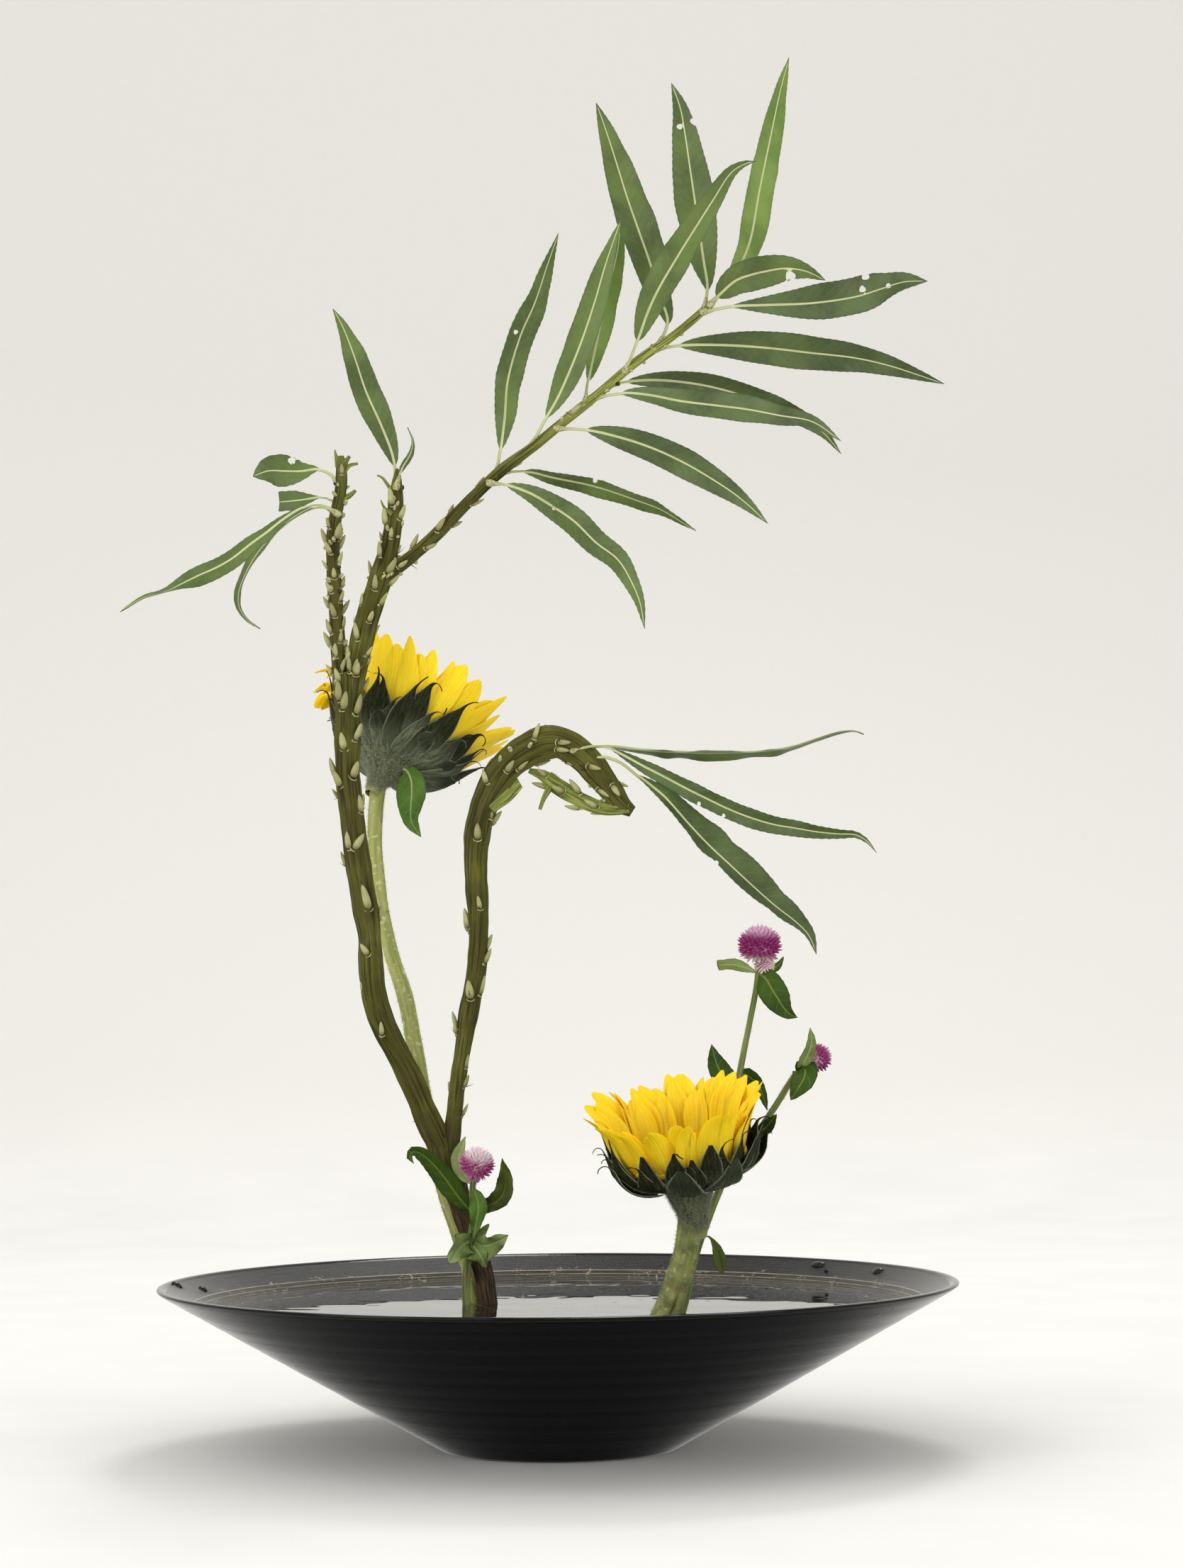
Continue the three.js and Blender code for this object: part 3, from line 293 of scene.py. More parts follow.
def forms(
    shape, feet, ways, sides_way, length, width, depth, profile, corners=6, finish=0, bow=0.0, tone=None
):
    """Many small forms at once, such as buds, scales and hairs.

    Each stands at its foot along its own way. profile holds pairs of the share of its length and of its
    width, and bow bends its tip by that share of its length.
    """
    feet, ways = np.atleast_2d(feet), unit(np.atleast_2d(ways))
    count, rings = len(feet), len(profile)
    side = np.atleast_2d(sides_way)
    side = unit(side - ways * (side * ways).sum(1, keepdims=True))
    other = np.cross(ways, side)
    feet, ways, side, other = (v[:, None, None] for v in (feet, ways, side, other))
    measures = (length, width, depth, bow)
    length, width, depth, bow = (np.broadcast_to(v, count)[:, None, None, None] for v in measures)
    places, girths = np.array(profile, float).T
    share = places[None, :, None, None]
    angle = (TAU * np.arange(corners) / corners)[None, None, :, None]
    round_it = side * width * np.cos(angle) / 2 + other * depth * np.sin(angle) / 2
    spots = feet + ways * length * share + round_it * girths[None, :, None, None]
    first = shape.put(spots + other * bow * length * share**2)
    start = first + np.arange(count)[:, None, None] * rings * corners
    faces, rows, columns = grid(rings, corners, closed=True)
    tone = (np.arange(count) / count if tone is None else tone)[:, None]
    grain = pairs(columns / corners * width[..., 0] * 3, places[rows] * length[..., 0])
    tones = pairs(tone[..., None], places[rows])
    shape.cover((faces + start).reshape(-1, 4), grain.reshape(-1, 4, 2), tones.reshape(-1, 4, 2), finish)
    corner = np.arange(corners)
    for ring, order in ((0, corner[::-1]), (rings - 1, corner)):
        caps = start[:, 0] + ring * corners + order
        shape.cover(caps, np.zeros((*caps.shape, 2)), pairs(tone, np.full(corners, places[ring])), finish)


HAIR = [(0, 1), (1, 0.12)]


def wool(shape, skins, count, length, thickness, finish, seed):
    """Fine hairs on a skin, given as its spots and the ways out of it."""
    spots, outs = (np.reshape(v, (-1, 3)) for v in skins)
    roll = np.random.default_rng(seed)
    pick = roll.integers(0, len(spots), count)
    ways = outs[pick] + roll.normal(0, 0.45, (count, 3))
    jitter = roll.normal(0, 0.5, (count, 3))
    jitter -= outs[pick] * (jitter * outs[pick]).sum(1, keepdims=True)
    feet = spots[pick] + jitter - 0.1 * outs[pick]
    lengths = length * roll.uniform(0.5, 1.2, count)
    side = roll.normal(0, 1, (count, 3))
    bow = roll.uniform(-0.3, 0.3, count)
    forms(shape, feet, ways, side, lengths, thickness, thickness, HAIR, 3, finish, bow)


# Leaves

UPPER, UNDER, RIB = 0, 1, 2
LEAF_COLUMNS = np.array([-1, -0.87, -0.68, -0.47, -0.27, -0.11, 0, 0.11, 0.27, 0.47, 0.68, 0.87, 1])
LEAF_STRIDE, TOOTH = 1.7, 0.16


def leaf(
    shape, path, depth, width, stalk=0, turn=(15,), fold=0.25, widest=0.42, blunt=0.0, halves=(1, 1),
    bites=(), finishes=(UPPER, UNDER, RIB), wave=0.1, crinkle=26.4, ragged=0.035, rib=1.0, seed=1,
):
    """A leaf follows its midrib from the stem to the tip.

    turn holds the angles in degrees by which it turns its face from the viewer, fold how far its edges
    rise, halves how wide its two sides are, crinkle how long the waves of its edges are, ragged how
    uneven its outline is, and bites the holes that insects ate, as [x, z, radius] in the front plane.
    """
    line = Line([seen(x, z, keyed(depth, i / (len(path) - 1))) for i, (x, z) in enumerate(path)])
    start = stalk / line.length
    fine = 2 if bites else 1
    column = np.interp(np.linspace(0, 12, 12 * fine + 1), np.arange(13), LEAF_COLUMNS)
    t = np.linspace(0, 1, max(14, round((line.length - stalk) / LEAF_STRIDE * fine)))
    share = start + (1 - start) * t
    along = share * line.length

    def frame_at(place):
        centres, ways = line.at(place)
        side = unit(np.cross(AWAY, ways))
        angle = np.radians(keyed(turn, place))[:, None]
        side = side * np.cos(angle) + np.cross(ways, side) * np.sin(angle)
        return centres, side, np.cross(side, ways)

    centres, side, face = frame_at(share)
    # The power moves the blade's broadest place to its share of the length.
    power = math.log(0.5) / math.log(widest)
    bulge = np.maximum(np.sin(math.pi * np.minimum(t, 1 - blunt) ** power), 0) ** 0.85
    half = np.maximum(0.12, width / 2 * bulge * (1 + ragged * uneven(seed, t * 9)))
    toothed = (np.arange(len(t)) % (2 * fine) < fine) & (bulge > 0.15)
    tooth = TOOTH * column * (np.abs(column) == 1) * toothed[:, None]
    reach = half[:, None] * column * np.where(column < 0, halves[0], halves[1]) + tooth
    phase = seed + 1.4 * np.sign(column) + uneven(seed + 1, along / 9)[:, None]
    ripple = wave * column**2 * half[:, None] * np.sin(TAU * along[:, None] / crinkle + phase)
    groove = 0.12 * np.exp(-((column / 0.1) ** 2))
    rise = fold * half[:, None] * np.abs(column) ** 1.15 + ripple - groove
    rows = centres[:, None] + side[:, None] * reach[..., None] + face[:, None] * rise[..., None]

    for x, z, radius in bites:
        offset = in_front(rows) - [x, z]
        away = np.linalg.norm(offset, axis=-1, keepdims=True)
        brim = radius * (1 + 0.12 * np.sin(3 * np.arctan2(offset[..., 1:], offset[..., :1]) + seed))
        near = (away < 1.5 * brim) & (away > 0.55 * brim)
        rows[..., ::2] += np.where(near, offset / np.maximum(away, 0.01) * (brim - away), 0)

    def uneaten(middles):
        away = [np.linalg.norm(in_front(middles) - [x, z], axis=1) / radius for x, z, radius in bites]
        return np.min(away, axis=0) > 0.93

    thick = 0.5 - 0.25 * np.abs(column) ** 3
    sheet(shape, rows, face, thick, column, half, along, finishes, uneaten if bites else None)

    # The stalk runs on under the blade as its midrib.
    place = np.linspace(0, 0.97, max(10, round(line.length / 3)))
    centres, side, face = frame_at(place)
    thinner = [min(0.8, 0.075 * width), min(0.72, 0.054 * width), 0.14]
    size = rib * np.interp(place, [0, max(start, 0.02), 0.97], thinner)
    sink = np.interp(place, [0, start + 0.02, 1], [0, 0.55, 0.55])
    angle = (TAU * np.arange(8) / 8)[None]
    # The ring runs from the side to the underside, so that its skin looks out.
    across = side[:, None] * (size[:, None] * np.cos(angle))[..., None]
    back = -face[:, None] * (size[:, None] * np.sin(angle))[..., None]
    tube(shape, centres - face * (sink * size)[:, None], across, back, place * line.length, finishes[2])


# Flower heads


class Head:
    """A head's own frame: spots are given by radius, height along its axis and angle round it, in mm."""

    def __init__(self, neck, axis):
        x, z, y = neck
        self.up = unit(np.array(axis, float))
        self.side = unit(np.cross(AWAY, self.up))
        self.back = np.cross(self.up, self.side)
        self.origin = seen(x, z, y)

    def out(self, angle):
        angle = np.asarray(angle)[..., None]
        return self.side * np.cos(angle) + self.back * np.sin(angle)

    def spot(self, radius, height, angle):
        radius, height = np.asarray(radius)[..., None], np.asarray(height)[..., None]
        return self.origin + self.out(angle) * radius + self.up * height


HEAD_GRAIN_RADIUS = 20
BLADE_COLUMNS = np.linspace(1, -1, 9)
EDGE_CURL = 0.14


def turned(shape, head, profile, sides=48, finish=0, relief=0.0):
    """A body turned round a head's axis, from profile pairs of radius and height."""
    radius, height = np.array(profile, float).T
    along = np.concatenate([[0], np.cumsum(np.hypot(np.diff(radius), np.diff(height)))])
    angle = TAU * np.arange(sides) / sides
    uneven_radius = radius[:, None] * (1 + relief * np.sin(7 * angle + 0.4 * height[:, None]))
    rings = head.spot(uneven_radius, height[:, None], angle)
    skin(shape, rings, TAU * HEAD_GRAIN_RADIUS, along, finish)
    return rings, np.broadcast_to(head.out(angle), rings.shape)


def head_blade(
    shape, head, angle, stations, width, outline, rise, thick, finish, rows, drift, roll, ribs, seed
):
    """A petal or a bract through stations of radius and height. drift swings its tip round the head and
    roll turns its face, both in radians, and ribs is the height of its lengthwise ridges."""
    share = np.linspace(0, 1, len(stations))
    line = Line([head.spot(r, h, angle + drift * s * s) for (r, h), s in zip(stations, share)])
    t = np.linspace(0, 1, rows)
    centres, ways = line.at(t)
    side = unit(np.cross(head.up, head.out(angle)))
    side = unit(side - ways * (side * ways).sum(1, keepdims=True))
    side = side * math.cos(roll) + np.cross(ways, side) * math.sin(roll)
    face = np.cross(ways, side)
    place = np.linspace(0, len(outline) - 1, rows)
    half = np.maximum(0.12, width / 2 * smooth(np.interp(place, np.arange(len(outline)), outline), 1))
    column = BLADE_COLUMNS
    reach = half[:, None] * column
    ridges = ribs * np.cos(2.5 * math.pi * column) * np.sin(math.pi * np.minimum(1, 0.15 + t))[:, None]
    waves = EDGE_CURL * np.sin(5 * t[:, None] + seed + np.sign(column) * 1.3)
    lift = ridges + (rise + waves) * reach * column
    middle = centres[:, None] + side[:, None] * reach[..., None] + face[:, None] * lift[..., None]
    thick = thick * (1 - 0.35 * column**2) * (1 - 0.6 * t[:, None] ** 2)
    sheet(shape, middle, face, thick, column, half, t * line.length, (finish, finish))
    return middle, np.broadcast_to(-face[:, None], middle.shape)


# Colours and materials


def linear(code):
    """An sRGB hex colour as linear light."""
    parts = [int(code[i : i + 2], 16) / 255 for i in (1, 3, 5)]
    return tuple(c / 12.92 if c <= 0.04045 else ((c + 0.055) / 1.055) ** 2.4 for c in parts)


def paint(name, code, description):
    return FloatVectorProperty(
        name=name, description=description, subtype="COLOR", size=3, min=0, max=1, default=linear(code)
    )


def measure(name, value, description):
    return FloatProperty(name=name, description=description, default=value, unit="LENGTH")


class IkebanaSizes(bpy.types.PropertyGroup):
    rim_radius: measure("Rim radius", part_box("bowl")[1].x, "Outer radius of the bowl's rim")
    bowl_height: measure("Bowl height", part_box("bowl")[1].z, "Height of the rim above the floor")
    water_level: measure("Water level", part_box("water")[1].z, "Height of the water's surface")
    holder_radius: measure("Holder radius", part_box("kenzan")[1].x, "Radius of the needle holder")
    needle_pitch: measure("Needle pitch", 0.0042, "Space between the needles")
    bud_length: measure("Bud length", 0.0084, "Length of a willow bud")
    high_rays: IntProperty(name="High petals", description="Outer petals of the high sunflower", default=21)
    low_rays: IntProperty(name="Low petals", description="Outer petals of the low sunflower", default=20)


class IkebanaPalette(bpy.types.PropertyGroup):
    leaf: paint("Leaf", "#5f7237", "Upper side of the willow's leaves")
    bark: paint("Bark", "#4b4a14", "Willow bark")
    bud: paint("Bud", "#a4a572", "Willow buds")
    petal: paint("Petal", "#fcd015", "Sunflower petals")
    calyx: paint("Calyx", "#2b3015", "Bracts round the sunflower heads")
    stalk: paint("Sunflower stem", "#aeb067", "Stems of the sunflowers")
    amaranth: paint("Amaranth", "#901d6a", "Heads of the globe amaranths")
    glaze: paint("Glaze", "#020203", "Outside of the bowl")
    floor: paint("Floor", "#f5f4f1", "Floor of the stage")


def palette():
    return bpy.context.scene.ikebana_palette


def sizes():
    return bpy.context.scene.ikebana_sizes


def rgba(colour):
    """A hex value, a colour or a node's output, as a colour input takes it."""
    if isinstance(colour, bpy.types.NodeSocket):
        return colour
    return (*(linear(colour) if isinstance(colour, str) else colour), 1)


def fill(tree, sockets, values):
    """Gives inputs their values, in their own order or by key. A value that is a node's output is linked."""
    for key, value in values.items() if isinstance(values, dict) else enumerate(values):
        if isinstance(value, bpy.types.NodeSocket):
            tree.links.new(value, sockets[key])
        else:
            sockets[key].default_value = value


def node(tree, kind, inputs=(), **settings):
    """Adds a node with its inputs and settings, and gives its outputs."""
    made = tree.nodes.new("ShaderNode" + kind)
    for key, value in settings.items():
        setattr(made, key, value)
    fill(tree, made.inputs, inputs)
    return made.outputs


def graded(tree, *steps):
    """The product of some steps, each a number, an output, or a list of a pattern, the two ends of its range
    and, where they aren't 0 and 1, what these ends are taken to smoothly."""
    product = None
    for step in steps:
        if isinstance(step, list):
            step = node(tree, "MapRange", step, interpolation_type="SMOOTHSTEP")[0]
        product = step if product is None else node(tree, "Math", [product, step], operation="MULTIPLY")[0]
    return product


def layered(tree, base, *layers):
    """Lays colours over a base. Each comes with the steps whose product says how strongly it covers."""
    for colour, *steps in layers:
        values = {0: graded(tree, *steps), 6: rgba(base), 7: rgba(colour)}
        base = node(tree, "Mix", values, data_type="RGBA")[2]
    return base


def relief(tree, depth, *parts):
    """Relief of this many mm. Its height is a sum of patterns, and one in a list comes with its share."""
    height = 0.0
    for part in parts:
        pattern, share = part if isinstance(part, list) else (part, 1.0)
        height = node(tree, "Math", [pattern, share, height], operation="MULTIPLY_ADD")[0]
    return node(tree, "Bump", {"Strength": 1.0, "Distance": depth * MM, "Height": height})[0]


def layer(tree, name):
    """The two numbers that a piece's corners hold under Grain or Share."""
    return node(tree, "SeparateXYZ", node(tree, "UVMap", uv_map=name)[:1])[:2]


def streaks(tree, across, along, detail=3):
    """Noise drawn out along a part: its marks are about this many mm across and along."""
    grain = node(tree, "UVMap", uv_map="Grain")[0]
    spots = node(tree, "Mapping", {"Scale": (1 / across, 1 / along, 1), "Vector": grain})[0]
    return node(tree, "TexNoise", {"Scale": 1.0, "Detail": detail, "Vector": spots})[0]


def mottle(tree, size, detail=3):
    """Noise whose marks are about this many mm wide on every side."""
    spots = node(tree, "TexCoord")["Object"]
    return node(tree, "TexNoise", {"Scale": 1 / (size * MM), "Detail": detail, "Vector": spots})[0]


def distance(tree, value, middle=0.0):
    """How far a number is from a middle one, on either side."""
    offset = node(tree, "Math", [value, middle], operation="SUBTRACT")
    return node(tree, "Math", offset[:1], operation="ABSOLUTE")[0]


def blank(name):
    """A new material and its node tree."""
    made = bpy.data.materials.new(name)
    made.use_nodes = True
    return made, made.node_tree


def surfaced(made, base, roughness, gloss=None, normal=None, others=None):
    """Gives a material's one Principled surface its inputs. What is left out keeps its usual value."""
    values = {"Base Color": rgba(base), "Roughness": roughness, "Specular IOR Level": gloss, "Normal": normal}
    values = {key: value for key, value in values.items() if value is not None}
    fill(made.node_tree, made.node_tree.nodes["Principled BSDF"].inputs, {**values, **(others or {})})
    return made


@cache
def willow_bark():
    """Living willow bark: olive, with furrows all along it that are dark partly by their own colour and
    partly by painted shade, fresh green on the young twig's end, purple-brown near the water, and matt."""
    made, tree = blank("living_willow_bark")
    furrows = streaks(tree, 1.0, 30, 3)
    fine_marks = streaks(tree, 0.5, 11, 5)
    height = node(tree, "SeparateXYZ", [node(tree, "TexCoord")["Object"]])[2]
    base = layered(
        tree,
        palette().bark,
        ("#959d48", [height, 0.43, 0.485]),
        ("#74742f", [mottle(tree, 18), 0.45, 0.75, 0, 0.5]),
        ("#3a3615", [fine_marks, 0.55, 0.36, 0, 0.45]),
        # The furrows' dark is partly the bark's own colour and partly painted shade in the grooves of the
        # relief.
        ("#211e0c", [furrows, 0.52, 0.36, 0, 0.75]),
        (layered(tree, "#241613", ("#5f4a3c", [fine_marks, 0.4, 0.62])), [height, 0.16, 0.07, 0, 0.85]),
    )
    roughness = graded(tree, [furrows, 0.3, 0.7, 0.8, 0.6])
    return surfaced(made, base, roughness, 0.2, relief(tree, 0.6, furrows, [fine_marks, 0.5]))


@cache
def bud_scale():
    """A willow bud's single scale: smooth and tan-green, browner towards its foot, with a soft sheen."""
    made, tree = blank("willow_bud_scale")
    tone, along = layer(tree, "Share")
    # Each bud has its own tone, and the brown comes and goes from one to the next.
    many = node(tree, "Math", [tone, 17], operation="MULTIPLY")[0]
    browner = node(tree, "Math", [many, 1], operation="PINGPONG")[0]
    base = layered(
        tree,
        "#7c7744",
        (palette().bud, [along, 0.0, 0.4]),
        ("#80774e", [browner, 0, 1, 0, 0.6]),
        ("#6f6434", [streaks(tree, 0.7, 5), 0.5, 0.7, 0, 0.45]),
        ("#5a4a26", [along, 0.88, 1.0, 0, 0.6]),
    )
    return surfaced(made, base, 0.5, 0.3, relief(tree, 0.1, streaks(tree, 0.4, 3)))


@cache
def bud_scar():
    """The corky ledge that a fallen leaf left under a bud: pale, dry and matt."""
    made, tree = blank("corky_leaf_scar")
    base = layered(tree, "#82824f", ("#b7b78c", [mottle(tree, 0.9), 0.35, 0.65]))
    return surfaced(made, base, 0.8, 0.25, relief(tree, 0.15, mottle(tree, 0.6)))


@cache
def dry_tip():
    """Dried stipules and bract tips: thin, dark brown and matt."""
    made, tree = blank("dried_plant_tip")
    return surfaced(made, layered(tree, "#2a1f12", ("#4f3d24", mottle(tree, 1.5))), 0.75, 0.2)


@cache
def torn_wood():
    """Torn willow wood: pale green-yellow fibres along the tear, rough."""
    made, tree = blank("torn_willow_wood")
    fibres = streaks(tree, 0.5, 14, 5)
    base = layered(tree, "#4c5420", ("#8b9448", [fibres, 0.35, 0.65]))
    return surfaced(made, base, 0.75, 0.2, relief(tree, 0.5, fibres))


def leaf_skin(name, dark, light, rib, roughness, spacing, veins=0.05, middle=0.88, rim=None, gloss=0.3):
    """A leaf's skin: pale midrib, faint side veins that run forward to the edge, a thin dark edge, a brown
    tip and uneven green between them, with a soft wax gloss."""
    made, tree = blank(name)
    across, along = layer(tree, "Grain")
    side, share = layer(tree, "Share")
    across, side = distance(tree, across), distance(tree, side)
    rib_width = node(tree, "Math", [share, -0.4, 0.6], operation="MULTIPLY_ADD")[0]
    from_rib = node(tree, "Math", [across, rib_width], operation="DIVIDE")[0]
    on_rib = graded(tree, [from_rib, 1.25, 0.75])
    forward = node(tree, "Math", [across, -1.15, along], operation="MULTIPLY_ADD")[0]
    bent = node(tree, "Math", [mottle(tree, 9), 2.4, forward], operation="MULTIPLY_ADD")[0]
    vein = node(tree, "Math", [bent, spacing], operation="PINGPONG")[0]
    base = layered(
        tree,
        dark,
        (light, [mottle(tree, 30), 0.35, 0.65]),
        (light, [mottle(tree, 1.6, 5), 0.42, 0.66, 0, 0.22]),
        (rim or dark, [side, 0.86, 1.0, 0, 0.7]),
        (rib, [vein, 0.3, 0.04], [side, 1.0, 0.55], veins),
        (rib, on_rib, middle),
        ("#54472a", [share, 0.965, 0.99, 0, 0.8]),
    )
    uneven_gloss = graded(tree, [mottle(tree, 6), 0.3, 0.7, roughness - 0.06, roughness + 0.08])
    quilted = graded(tree, [vein, 0, spacing])
    height = relief(tree, 0.12, [quilted, 0.5], [mottle(tree, 1.2), 0.3], [on_rib, -0.8])
    return surfaced(made, base, uneven_gloss, gloss, height)


# The upper side of a willow leaf is fresher where it is young, and deeper green where it is old.
LEAF_GREENS = {"common": ("#46552b", None), "fresh": ("#587030", "#768e44"), "deep": ("#3b4726", "#536436")}


@cache
def leaf_upper(age):
    """A willow leaf from above: smooth, green and softly waxy."""
    dark, light = LEAF_GREENS[age]
    return leaf_skin(f"willow_leaf_upper_side_{age}", dark, light or palette().leaf, "#c6ca9b", 0.42, 2.6)


@cache
def leaf_under():
    """A willow leaf from below: paler, greyer and duller."""
    return leaf_skin("willow_leaf_under_side", "#64744c", "#8b9a6e", "#c3c794", 0.55, 2.6)


@cache
def leaf_rib():
    """A willow leaf's stalk and midrib: smooth, waxy and yellow-green."""
    made, tree = blank("waxy_leaf_rib")
    base = layered(tree, "#969b62", ("#c4c898", [streaks(tree, 0.6, 20), 0.35, 0.65]))
    return surfaced(made, base, 0.45, 0.3)


# A broad leaf's upper side: dark and light green, rib and rim. The lowest are pale, and some are withered.
BROAD_GREENS = {
    "deep": ("#203008", "#395212", "#7f8f45", None),
    "fresh": ("#3c591f", "#5f8234", "#a3b071", None),
    "pale": ("#5a6c33", "#8b9c60", "#a4af78", "#4b4a28"),
    "withered": ("#39451c", "#5f6f2d", "#7a6a3c", "#2e1f15"),
}


@cache
def broad_leaf(age):
    """A sunflower's or an amaranth's leaf from above: a little rough, and hardly glossy."""
    dark, light, rib, rim = BROAD_GREENS[age]
    return leaf_skin(f"broad_leaf_upper_side_{age}", dark, light, rib, 0.55, 2.9, 0.22, 0.5, rim, 0.15)


@cache
def broad_leaf_under():
    """The same leaf from below: paler, rougher and duller."""
    return leaf_skin(
        "broad_leaf_under_side", "#4c5d2e", "#788c4a", "#a0ad68", 0.65, 2.9, 0.3, 0.6, None, 0.15
    )


@cache
def sunflower_skin(name, woolly_from):
    """A sunflower's stem: pale green with lengthwise ribs, fine rough hairs and a few brown marks, matt.
    The low one is darker, with a dark line of painted shade where a crease runs up its lower part."""
    made, tree = blank(f"hairy_sunflower_stem_{name}")
    long_marks = streaks(tree, 1.6, 40)
    turn, share = layer(tree, "Share")
    base = layered(
        tree,
        "#8f9752",
        (palette().stalk, [long_marks, 0.35, 0.65]),
        ("#d6d8b4", [mottle(tree, 2.2, 5), 0.54, 0.7, 0, 0.7]),
        ("#6d4c2a", [mottle(tree, 7, 5), 0.66, 0.76, 0, 0.8]),
    )
    if name == "low":
        base = layered(
            tree,
            base,
            ("#606a38", [mottle(tree, 5, 5), 0.3, 0.66, 0.95, 0.25]),
            # A thin dark line of painted shade stands in for a crease up the low stem's lower part; the mesh
            # has no crease.
            ("#4b4a20", [distance(tree, turn, 0.56), 0.035, 0.01], [share, 0.66, 0.6, 0, 0.85]),
            ("#7b6a3e", [distance(tree, share, 0.65), 0.012, 0.003, 0, 0.7]),
        )
    base = layered(tree, base, ("#5d6446", [share, woolly_from, 1.0, 0, 0.85]))
    return surfaced(made, base, 0.75, 0.25, relief(tree, 0.3, long_marks, [mottle(tree, 0.7), 0.5]))


@cache
def woolly_bract():
    """The calyx's bracts: dark green under a thin grey wool, with dark dried tips, matt."""
    made, tree = blank("woolly_calyx_bract")
    side, share = layer(tree, "Share")
    base = layered(
        tree,
        "#11140a",
        (palette().calyx, [streaks(tree, 1.1, 7, 5), 0.35, 0.65]),
        ("#4c5238", [mottle(tree, 0.8, 5), 0.5, 0.68, 0, 0.2]),
        ("#5e644e", [share, 0.4, 0.0, 0, 0.75]),
        ("#7f8567", [distance(tree, side), 0.84, 1.0, 0, 0.75]),
        ("#1c140d", [share, 0.74, 0.88]),
    )
    return surfaced(made, base, 0.85, 0.15, relief(tree, 0.35, mottle(tree, 0.7, 5), streaks(tree, 0.9, 8)))


@cache
def woolly_neck():
    """The back of a sunflower's head: grey-green under short wool, with ribs from the stem outwards, matt."""
    made, tree = blank("woolly_flower_neck")
    base = layered(
        tree,
        "#3d422c",
        ("#666b4e", [streaks(tree, 4, 9, 4), 0.35, 0.65]),
        ("#8f9379", [mottle(tree, 0.8, 5), 0.48, 0.64, 0, 0.6]),
        (palette().stalk, [layer(tree, "Share")[1], 0.16, 0.02, 0, 0.5]),
    )
    return surfaced(made, base, 0.85, 0.15, relief(tree, 0.3, mottle(tree, 0.7, 5)))


@cache
def woolly_scale():
    """The lowest bracts: rounded and grey under long wool, matt."""
    made, tree = blank("woolly_outer_scale")
    side, share = layer(tree, "Share")
    base = layered(
        tree,
        "#444b39",
        ("#6c725c", [streaks(tree, 1.3, 8, 5), 0.35, 0.65]),
        ("#868b72", [mottle(tree, 0.7, 5), 0.5, 0.66, 0, 0.5]),
        ("#23281a", [share, 0.3, 0.75, 0, 0.85]),
        ("#8d9279", [distance(tree, side), 0.84, 1.0, 0, 0.6]),
    )
    return surfaced(made, base, 0.9, 0.1, relief(tree, 0.35, mottle(tree, 0.7, 5)))


@cache
def plant_wool():
    """Wool of fine plant hairs: nearly white, matt, and pale against the dark bracts."""
    made, tree = blank("fine_plant_wool")
    return surfaced(made, layered(tree, "#7d826c", ("#b4b8a2", mottle(tree, 3))), 0.9, 0.1)


@cache
def ray_petal():
    """A sunflower's ray petals: thin, satin, clear yellow with fine ribs, warmer at the foot."""
    made, tree = blank("satin_ray_petal")
    across, share = layer(tree, "Grain")[0], layer(tree, "Share")[1]
    bent = node(tree, "Math", [mottle(tree, 8), 1.2, across], operation="MULTIPLY_ADD")[0]
    ribs = node(tree, "Math", [bent, 0.8], operation="PINGPONG")[0]
    base = layered(
        tree,
        palette().petal,
        ("#eab014", [share, 0.35, 0.0]),
        ("#fee040", [streaks(tree, 1.6, 18, 4), 0.4, 0.7, 0, 0.6]),
        ("#e0a10c", [ribs, 0.3, 0.0, 0, 0.1]),
    )
    height = relief(tree, 0.07, graded(tree, [ribs, 0, 0.6]), [mottle(tree, 1.4), 0.6])
    # Light comes a little way through a thin petal, the yellow and red of it further than the blue.
    glow = {"Subsurface Weight": 0.25, "Subsurface Scale": 0.002, "Subsurface Radius": (1.0, 0.7, 0.1)}
    return surfaced(made, base, 0.6, 0.2, height, glow)


@cache
def disc_floret():
    """The disc's florets: dark brown tubes with dull yellow mouths, powdery."""
    made, tree = blank("disc_floret")
    tone, share = layer(tree, "Share")
    base = layered(
        tree,
        "#241a10",
        ("#6b4a18", [share, 0.45, 0.95]),
        ("#b0881f", [share, 0.8, 1.0], [tone, 0.35, 0.9]),
    )
    return surfaced(made, base, 0.85, 0.2, relief(tree, 0.2, mottle(tree, 0.5)))


@cache
def amaranth_skin():
    """An amaranth's stem: slim, green and downy, with reddish patches."""
    made, tree = blank("downy_amaranth_stem")
    base = layered(
        tree,
        "#525e2b",
        ("#7f8b4d", [streaks(tree, 0.9, 24), 0.35, 0.65]),
        ("#8a5a58", [mottle(tree, 11), 0.6, 0.72, 0, 0.65]),
    )
    return surfaced(made, base, 0.7, 0.25, relief(tree, 0.2, streaks(tree, 0.6, 12)))


def papery_scale(name, foot, tip, base_tone, crown_from, crown):
    """A globe amaranth's papery bracts: pink-white at their feet, purple-pink at their tips, dry sheen."""
    made, tree = blank(name)
    tone, share = layer(tree, "Share")
    base = layered(
        tree,
        foot,
        (tip, [share, 0.05, 0.5]),
        (foot, [tone, crown_from, crown_from + 0.28, 0, crown]),
        ("#e3b4d2", [streaks(tree, 0.35, 3), 0.45, 0.75, 0, 0.3]),
        (base_tone, [tone, 0.25, 0.02, 0, 0.95]),
    )
    return surfaced(made, base, 0.5, 0.3, relief(tree, 0.12, streaks(tree, 0.3, 4)))


@cache
def purple_scale():
    """The right plant's bracts: papery, and a deep purple-pink."""
    return papery_scale("papery_purple_bract", "#dcb0cb", palette().amaranth, "#dccbc0", 0.64, 0.85)


@cache
def pale_purple_scale():
    """The left head's bracts: papery and paler, nearly white towards the crown."""
    return papery_scale("papery_pale_bract", "#f1e4e6", "#b4468c", "#c98bab", 0.56, 0.95)


